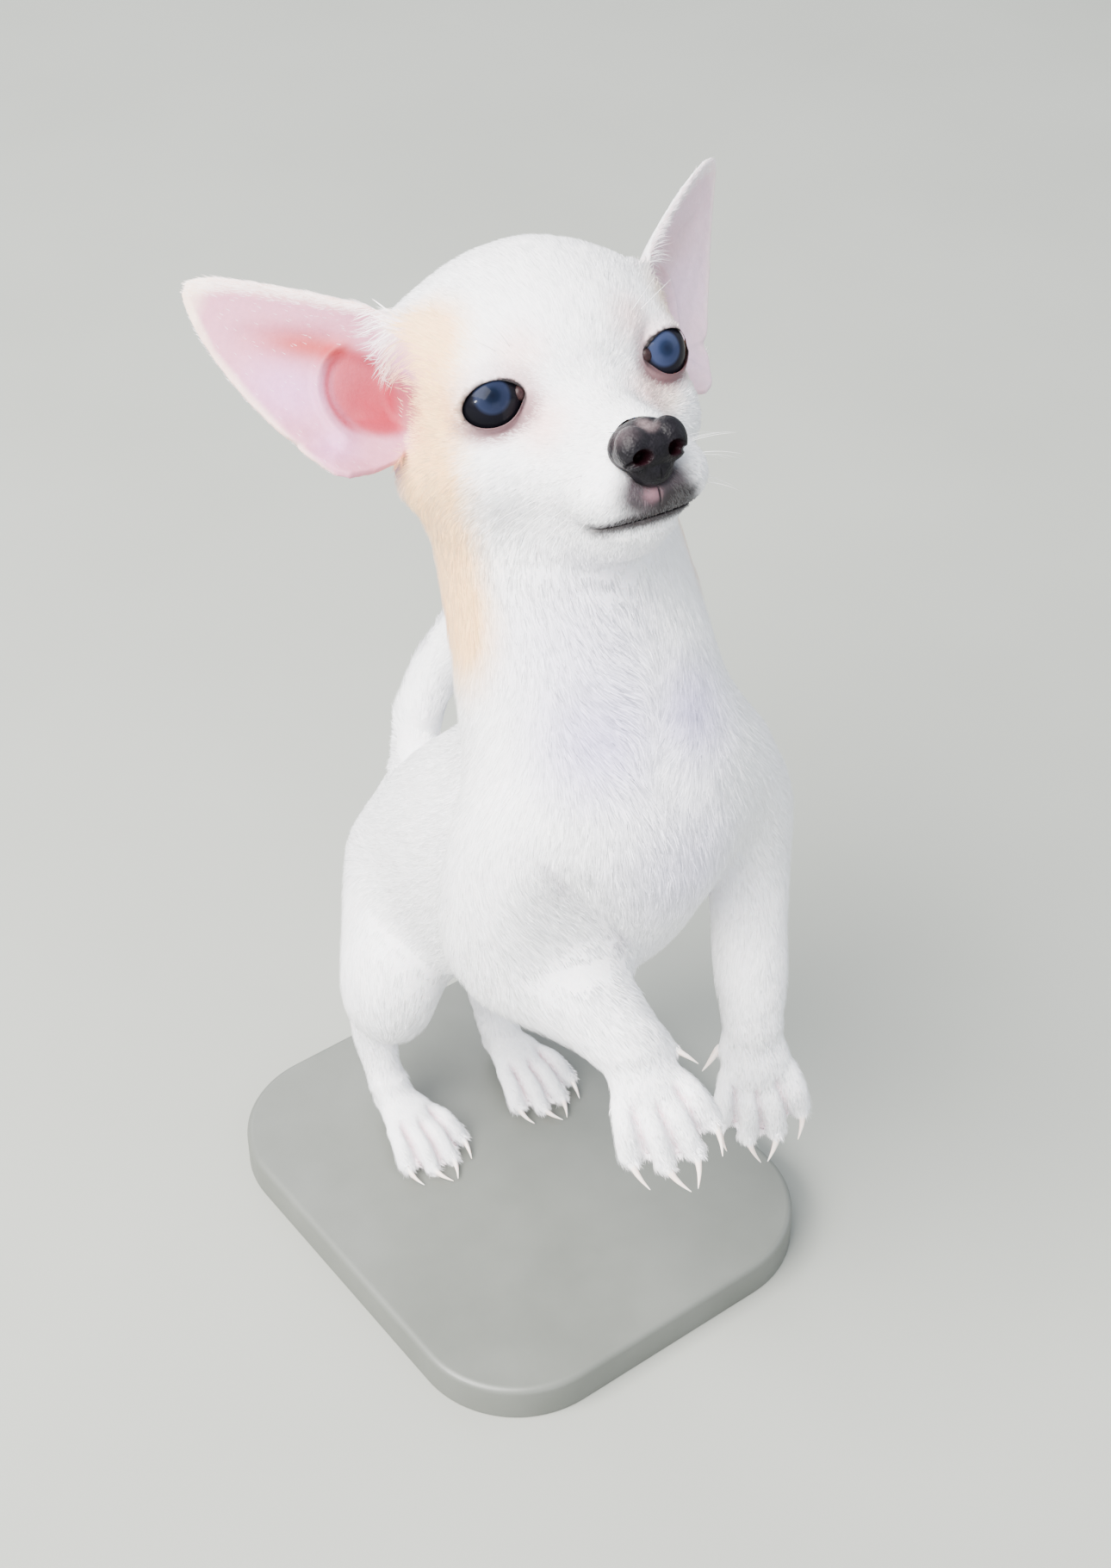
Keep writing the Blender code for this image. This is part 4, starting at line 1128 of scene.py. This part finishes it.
def flow(points, normals):
    """The way the hair lies at each place, in the skin's plane."""
    dog, head = seen_from(points, DOG), seen_from(points, HEAD)
    total = near_bones(points)[0]
    for side in SIDES:
        ear = seen_from(points, EAR[side]) * (side, 1, 1)
        near = (np.abs(head[:, 0]) > 26) * (head[:, 0] * side > 0) * (ear[:, 2] > -5)
        tip = np.array(EAR[side].to_3x3()) / MM
        fan = np.clip(1.5 * blob(ear, (7, 6, 0), (12, 12, 12)), 0, 1)
        inner = (normals @ tip_front(side) > 0.2) * (ear[:, 0] > 0)
        across = side * (-(0.022 + 0.03 * inner) * ear[:, 0] - 1.3 * fan)
        sweep = np.stack([across, 0.3 * fan, np.ones(len(ear))], 1)
        total[near] = unit(sweep @ tip.T)[near]
    middle = np.interp(dog[:, 2], (150, 165, 182), (0.0, -3.0, 6.0))
    chest = blob(dog, (2, -54, 172), (30, 30, 32)) * np.clip((dog[:, 0] - middle) / 7, -1, 1)
    total[:, 0] -= 1.6 * chest
    flat = total - normals * np.sum(total * normals, axis=1, keepdims=True)
    return unit(flat)


print("flow follows", len(BONES), "bones")

# %% [markdown]
# Each hair tuft is a thin blade of three triangles. Its root sinks into the skin, its middle rises a little
# and its tip a little more. Length, width, lift and number come from where it grows: shortest on the muzzle
# and feet, longer on the neck and chest, longest under the belly and tail and at the front of the ears.

# %% Hair by place
def hair_rules(points, normals):
    """Length in millimetres, lift as a share of the length and number per square millimetre."""
    head, dog = seen_from(points, HEAD), seen_from(points, DOG)
    count = len(points)
    length, lift, number = near_bones(points)[1], np.full(count, 0.17), np.full(count, 6.3)
    face = np.clip(2.2 * blob(head, (0, -14, -12), (34, 34, 34)), 0, 1)
    length += face * (1.5 - length)
    number += face * 3.0
    muzzle = np.clip(2.2 * blob(head, (0, -24, -18), (15, 15, 16)), 0, 1)
    length += muzzle * (1.0 - length)
    lips = bell(lip_distance(head), 2.4) * (head[:, 1] < -8)
    length *= 1 - 0.4 * lips
    chest = blob(dog, (0, -62, 138), (20, 30, 40))
    length += 1.3 * chest
    lift += 0.05 * chest
    under = np.clip(-normals[:, 2] - 0.2, 0, 1) * blob(dog, (2, -8, 84), (34, 60, 40))
    length += 3.5 * under
    lift += 0.30 * under
    for start, end, width, deep in CREASES:
        length *= 1 - 0.55 * bell(line_gap(dog, start, end), 3.8)
    paws = 1 - ramp_up(length, 1.2, 2.0)
    number += 1.5 * paws * (1 - face)
    for spot in CLAW_ROOTS:
        length += 1.5 * bell(np.linalg.norm(dog - spot, axis=1), 2.6)
    for side in SIDES:
        reach, turn, front = lid_reach(points, side)
        length *= 1 - 0.65 * (1 - ramp_up(reach, 1.2, 2.4)) * front
    return length, lift, number


def ear_rules(points, normals, length, lift, number):
    """Sparse down inside the ears, a soft rim and long hairs at the front root."""
    head = seen_from(points, HEAD)
    for side in SIDES:
        ear = seen_from(points, EAR[side]) * (side, 1, 1)
        near = (head[:, 0] * side > 26.5) * (ear[:, 2] > -6)
        facing = normals @ np.array(EAR[side].to_3x3().col[1].normalized())
        along = ear[:, 2] / EAR_LENGTH
        width = np.interp(along, (-0.1, 0.3, 0.77, 1.0), (17, 11.5, 6.0, 1.0))
        front = ramp_up(ear[:, 0] - width, -4.5, -0.5)
        inside = near * (facing > 0.1)
        length[near], lift[near], number[near] = 1.3, 0.07, 9.0
        number[inside] = (0.12 + 9.0 * front**2)[inside]
        length[inside] = (1.3 + 1.3 * front)[inside]
        root = ramp_up(facing, -0.1, 0.2) * np.clip(2 * blob(ear, (8, 6, 2), (13, 12, 13)), 0, 1)
        root *= ramp_up(head[:, 0] * side, 22.0, 25.0)
        number += (0.9 - number) * root
        length *= 1 - 0.5 * ramp_up(along, 0.85, 1.0) * near
        length += (5.6 - length) * root
        lift += 0.16 * root
    return length, lift, number


def bare_places(points):
    """0 where no hair grows: eyes and lids, canals, lips, the groove under the nose and the nose."""
    head = seen_from(points, HEAD)
    keep = np.ones(len(points))
    for side in SIDES:
        reach, turn, front = lid_reach(points, side)
        inner, lower = np.clip(-np.cos(turn), 0, 1), np.clip(-np.sin(turn), 0, 1)
        edge = 1.05 + 0.2 * inner**2 + 0.3 * lower
        keep *= np.clip(ramp_up(reach, edge, edge + 0.15) + (1 - front), 0, 1)
        keep *= np.linalg.norm(seen_from(points, EYE[side]), axis=1) > EYE_RADIUS + 0.35
        ear = seen_from(points, EAR[side]) * (side, 1, 1)
        keep *= 1 - (canal(ear) < 1.1) * (ear[:, 0] < 2) * (head[:, 0] * side > 28)
    front = ramp_up(-head[:, 1], 13.0, 18.0)
    keep *= 1 - bell(lip_distance(head), 1.0) * front
    keep *= 1 - np.clip(2.5 * blob(head, (0, -25, -21), (4.0, 5, 5)), 0, 1)
    keep *= np.linalg.norm((head - np.array(NOSE)) / (7.3, 6.6, 6.0), axis=1) > 1.0
    return np.clip(keep, 0, 1)


# %% Roots of the hairs
HAIR_TOTAL = 450000


def skin_triangles(obj):
    """Corner indices of the triangles of a mesh."""
    obj.data.calc_loop_triangles()
    flat = np.zeros(len(obj.data.loop_triangles) * 3, np.int32)
    obj.data.loop_triangles.foreach_get("vertices", flat)
    return flat.reshape(-1, 3)


spots, faces = points_of(skin), skin_triangles(skin)
outward = unit(even_out(skin, normals_of(skin), 4, 0.5 * care(spots)))
length, lift, number = hair_rules(spots, outward)
length, lift, number = ear_rules(spots, outward, length, lift, number)
number *= bare_places(spots)
a, b, c = (spots[faces[:, i]] for i in range(3))
area = 0.5 * np.linalg.norm(np.cross(b - a, c - a), axis=1) / MM**2
share = area * number[faces].mean(axis=1)
print("skin is", round(area.sum() / 100), "square centimetres and wants", round(share.sum()), "hairs")
count = min(HAIR_TOTAL, int(share.sum()))
picked = chance.choice(len(faces), size=count, p=share / share.sum())
u, v = chance.random(count), chance.random(count)
fold = u + v > 1
u[fold], v[fold] = 1 - u[fold], 1 - v[fold]
mix = np.stack([1 - u - v, u, v], 1)


def spread(values):
    """Values of the skin's vertices carried to the roots."""
    corners = values[faces[picked]]
    return np.einsum("ij,ij...->i...", mix, corners)


root, up = spread(spots), unit(spread(outward))
hair_length, hair_lift = spread(length), spread(lift)
print("grew", count, "roots")

# %% [markdown]
# Neighbouring hairs cling together, so a hair's turn and shade come partly from a
# small cell of space that it shares with others, and partly from chance. The bake
# needs a place for each tuft on an unwrap of the skin, so a light copy of the skin
# is unwrapped, and each root looks up its place on that copy.

# %% Turn, shade and bend of the hairs
CLUMP = 2.2


def cell_noise(points, size, seed):
    """A steady value from -1 to 1 for each small cube of space."""
    cell = np.floor(points / (size * MM)).astype(np.int64)
    mixed = cell[:, 0] * 73856093 ^ cell[:, 1] * 19349663 ^ cell[:, 2] * 83492791 ^ seed * 2654435761
    mixed = (mixed ^ (mixed >> 13)) * 1274126177
    return ((mixed ^ (mixed >> 16)) & 0xFFFF) / 32767.5 - 1.0


def wave(points):
    """A slow drift of the coat's direction over the body, in radians."""
    p = points / MM
    drift = np.sin(p @ np.array((0.11, 0.07, 0.05))) + np.sin(p @ np.array((-0.05, 0.13, 0.17)) + 1.3)
    return 0.10 * drift


lie = flow(root, up)
cross = np.cross(up, lie)
turn = 0.16 * cell_noise(root, CLUMP, 3) + 0.10 * cell_noise(root + 0.0011, CLUMP, 5)
turn += wave(root) + 0.10 * chance.standard_normal(count)
lie = lie * np.cos(turn)[:, None] + cross * np.sin(turn)[:, None]
cross = np.cross(up, lie)
hair_length *= 0.8 + 0.4 * chance.random(count)
hair_lift *= 0.6 + 0.8 * chance.random(count)
hair_width = 0.12 + 0.05 * chance.random(count) + 0.016 * hair_length
hair_width *= np.where(np.abs(seen_from(root, HEAD)[:, 0]) > 26.5, 0.6, 1.0)
tip_lean = 0.25 + 0.25 * chance.standard_normal((count, 1))
side_lean = 0.20 * chance.standard_normal((count, 1)) + 0.10 * cell_noise(root, CLUMP, 7)[:, None]
shade = 1.0 + 0.03 * cell_noise(root, 1.6, 9) + 0.05 * chance.standard_normal(count)
lid_near = np.zeros(count)
for side in SIDES:
    reach, angle, front = lid_reach(root, side)
    lid_near = np.maximum(lid_near, (1 - ramp_up(reach, 1.3, 2.3)) * front)
in_ear = ramp_up(np.abs(seen_from(root, HEAD)[:, 0]), 26.0, 30.0)
down = (0.3 + 0.5 * lid_near + 0.25 * in_ear)[:, None]
hair_colour = (1 - down) * coat_colour(root, up) + down * skin_colour(root, up)
hair_colour = np.clip(hair_colour * np.clip(shade, 0.82, 1.12)[:, None], 0, 0.9)
print("mean length", round(float(hair_length.mean()), 2), "mm")

# %% Unwrap of a light copy of the skin
light = bpy.data.objects.new("light_skin", skin.data.copy())
bpy.context.scene.collection.objects.link(light)
reduce = light.modifiers.new("reduce", "DECIMATE")
reduce.ratio = 6000 / len(light.data.polygons)
bake(light)
bpy.context.view_layer.objects.active = light
light.select_set(True)
bpy.ops.object.mode_set(mode="EDIT")
bpy.ops.mesh.select_all(action="SELECT")
bpy.ops.uv.smart_project(angle_limit=math.radians(66), island_margin=0.006)
bpy.ops.object.mode_set(mode="OBJECT")
light.data.calc_loop_triangles()
tree = BVHTree.FromObject(light, bpy.context.evaluated_depsgraph_get())
triangles = skin_triangles(light)
loops = np.zeros(len(light.data.loop_triangles) * 3, np.int32)
light.data.loop_triangles.foreach_get("loops", loops)
loops = loops.reshape(-1, 3)
owner = np.zeros(len(loops), np.int32)
light.data.loop_triangles.foreach_get("polygon_index", owner)
first = np.zeros(len(light.data.polygons), np.int32)
first[owner[::-1]] = np.arange(len(owner))[::-1]
flat = np.zeros(len(light.data.loops) * 2, np.float32)
light.data.uv_layers.active.data.foreach_get("uv", flat)
unwrap = flat.reshape(-1, 2)
hits = [tree.find_nearest(p) for p in root.tolist()]
found = first[np.array([h[2] for h in hits])]
near = np.array([h[0] for h in hits])
corner = points_of(light)[triangles[found]]
e0, e1, e2 = corner[:, 1] - corner[:, 0], corner[:, 2] - corner[:, 0], near - corner[:, 0]
d00, d01, d11 = (np.sum(x * y, 1) for x, y in ((e0, e0), (e0, e1), (e1, e1)))
d20, d21 = np.sum(e2 * e0, 1), np.sum(e2 * e1, 1)
below = np.maximum(d00 * d11 - d01 * d01, 1e-18)
second, third = (d11 * d20 - d01 * d21) / below, (d00 * d21 - d01 * d20) / below
weights = np.clip(np.stack([1 - second - third, second, third], 1), 0, 1)
weights /= weights.sum(axis=1, keepdims=True)
root_uv = np.einsum("ij,ijk->ik", weights, unwrap[loops[found]])
bpy.data.objects.remove(light)
print("unwrap reaches", root_uv.min(0).round(2), root_uv.max(0).round(2))

# %% Blades of the coat
PATCH = 0.003
coat_look, nodes, shader = principled("short_coat", Roughness=0.7, Sheen_Weight=0.15)
tinted(nodes, shader, 0.96, 1.03, noise(nodes, 700.0))


def blades(name, chosen):
    """One coat piece: a thin blade of a quad and a triangle for each chosen root."""
    n = len(chosen)
    base, way, side, out = root[chosen], lie[chosen], cross[chosen], up[chosen]
    long = (hair_length[chosen] * MM)[:, None]
    wide = (hair_width[chosen] * MM)[:, None]
    rise = long * hair_lift[chosen][:, None]
    points = np.empty((n, 5, 3))
    points[:, 0] = base - out * 0.08 * MM - side * wide * 0.5
    points[:, 1] = base - out * 0.08 * MM + side * wide * 0.5
    points[:, 2] = base + way * long * 0.5 + out * rise * 0.8 + side * wide * 0.42
    points[:, 3] = base + way * long * 0.5 + out * rise * 0.8 - side * wide * 0.42
    points[:, 4] = base + way * long + out * rise
    data = bpy.data.meshes.new(name)
    data.vertices.add(n * 5)
    data.vertices.foreach_set("co", points.ravel())
    start = np.arange(n)[:, None] * 5
    corners = (start + np.array((1, 0, 3, 2, 2, 3, 4))).ravel()
    data.loops.add(n * 7)
    data.loops.foreach_set("vertex_index", corners)
    data.polygons.add(n * 2)
    begins = (np.arange(n)[:, None] * 7 + np.array((0, 4))).ravel()
    data.polygons.foreach_set("loop_start", begins)
    data.update(calc_edges=True)
    piece = bpy.data.objects.new(name, data)
    bpy.context.scene.collection.objects.link(piece)
    paint(piece, np.repeat(hair_colour[chosen], 5, axis=0))
    shape = np.array(((1, 0), (0, 0), (0.1, 0.5), (0.9, 0.5), (0.9, 0.5), (0.1, 0.5), (0.5, 1)))
    patch = root_uv[chosen][:, None, :] + (shape - 0.5) * PATCH
    layer = data.uv_layers.new(name="OFBake")
    layer.data.foreach_set("uv", patch.astype(np.float32).ravel())
    finish_piece(piece, "coat", coat_look)
    piece.visible_shadow = piece.visible_diffuse = False
    lean = unit(out + way * tip_lean[chosen] + side * side_lean[chosen])
    data.normals_split_custom_set_from_vertices(np.repeat(lean, 5, axis=0))
    return piece


order = np.argsort(seen_from(root, DOG)[:, 2])
pieces = math.ceil(count / 64000)
for i, chosen in enumerate(np.array_split(order, pieces)):
    blades(f"coat_{i + 1}", chosen)
print("coat in", pieces, "pieces")

# %% [markdown]
# Whiskers are the last of the hair: stiff white bristles in rows on the upper lip and a few over each eye.
# Each is a thin tapered tube that leaves the skin along a row and droops towards its tip.

# %% Whiskers
whisker_look, nodes, shader = principled("whisker", Roughness=0.4)
pale = ramp(nodes, noise(nodes, 300.0), (0.3, (0.78, 0.77, 0.76)), (0.7, (0.85, 0.85, 0.85)))
nodes.links.new(pale, shader.inputs["Base Color"])
tree = surface_bvh(skin)


def whisker(mesh, spot, way, long, droop):
    """A bristle from the skin at a spot of the head, bending down as it goes."""
    outward = (HEAD.to_3x3() @ Vector(way)).normalized()
    hit = tree.find_nearest(HEAD @ Vector(spot))[0]
    inverse = HEAD.inverted()
    start, way = inverse @ hit, Vector(way).normalized()
    rows = []
    for k in range(7):
        t = k / 6
        place = start + way * long * t - Vector((0, 0, droop * t * t)) + Vector((0, 0.1 * long * t * t, 0))
        thick = 0.075 * (1 - 0.85 * t)
        rows.append((*place, thick, thick))
    tube(mesh, rows, HEAD, side=(0, 0, 1), sides=5)


mesh = bmesh.new()
for side in SIDES:
    for row in range(3):
        for k in range(4):
            spot = mirror((9.5 + 1.3 * k, -17.0 + 3.6 * k, -16.0 - 2.4 * row), side)
            way = mirror((1.0, -0.45 + 0.28 * k, 0.12 - 0.22 * row), side)
            whisker(mesh, spot, way, (13, 9)[side == 1] + 1.5 * k - row, 1.5 + 0.8 * k)
    for k in range(2):
        whisker(mesh, mirror((12 + 3 * k, 0, 9), side), mirror((0.5 + 0.4 * k, -0.6, 0.7), side), 9, 0.5)
bristles = to_object("whiskers", mesh)
finish_piece(bristles, "coat", whisker_look)

# %% [markdown]
# Last comes the studio. The floor is plain and pale and spreads far around the model. A broad soft light
# stands above and to the left, a weaker one fills from the right, and the pale world lifts the shadows, much
# as an overcast sky would.

# %% Floor
mesh = bmesh.new()
bmesh.ops.create_grid(mesh, x_segments=2, y_segments=2, size=3.0)
floor = to_object("floor", mesh)
floor_look, nodes, shader = principled("pale_floor", Roughness=0.8)
shade = ramp(nodes, noise(nodes, 8.0), (0.3, (0.27, 0.28, 0.255)), (0.7, (0.29, 0.30, 0.275)))
nodes.links.new(shade, shader.inputs["Base Color"])
floor.data.materials.append(floor_look)
print("floor is 6 m across")

# %% Lights
def softbox(name, place, size, power, colour):
    """A square area light that looks at the puppy's chest."""
    lamp = bpy.data.lights.new(name, "AREA")
    lamp.size = size
    lamp.energy = power
    lamp.color = colour
    made = bpy.data.objects.new(name, lamp)
    made.location = place
    made.rotation_euler = (Vector((0, 0, 0.16)) - Vector(place)).to_track_quat("-Z", "Y").to_euler()
    bpy.context.scene.collection.objects.link(made)
    return made


softbox("key_light", (-0.95, -0.10, 1.25), 1.3, 150.0, (1.0, 0.97, 0.93))
softbox("fill_light", (1.1, -0.5, 0.7), 0.9, 6.0, (0.88, 0.94, 1.0))
softbox("low_light", (-0.35, -1.3, 0.15), 0.7, 5.0, (0.84, 0.92, 1.0))
catch = softbox("catch_light", (-0.606, -0.031, 0.348), 0.05, 4.0, (1.0, 1.0, 1.0))
catch.visible_diffuse = False
catch.rotation_euler = (HEAD.translation - catch.location).to_track_quat("-Z", "Y").to_euler()
softbox("back_light", (0.3, 1.1, 0.9), 0.8, 9.0, (1.0, 1.0, 1.0))
world = bpy.data.worlds.new("studio_air")
world.use_nodes = True
world.node_tree.nodes["Background"].inputs["Color"].default_value = (0.84, 0.91, 1.0, 1.0)
world.node_tree.nodes["Background"].inputs["Strength"].default_value = 1.08
bpy.context.scene.world = world
print("four soft lights, a catch light for the eyes and a pale world")

# %% [markdown]
# The camera stands where the photographer did: in front of the puppy's right
# shoulder, about half a metre away, looking down at forty degrees.

# %% Camera
lens = bpy.data.cameras.new("camera")
lens.sensor_fit = "VERTICAL"
lens.angle = math.radians(34.0)
lens.clip_start = 0.01
camera = bpy.data.objects.new("camera", lens)
bpy.context.scene.collection.objects.link(camera)
camera.location = (-0.2518, -0.3508, 0.4954)
down, aside = math.radians(40.0), math.radians(37.0)
look = Vector((math.sin(aside) * math.cos(down), math.cos(aside) * math.cos(down), -math.sin(down)))
camera.rotation_euler = look.to_track_quat("-Z", "Y").to_euler()
bpy.context.scene.camera = camera
print("camera at", [round(c, 3) for c in camera.location])
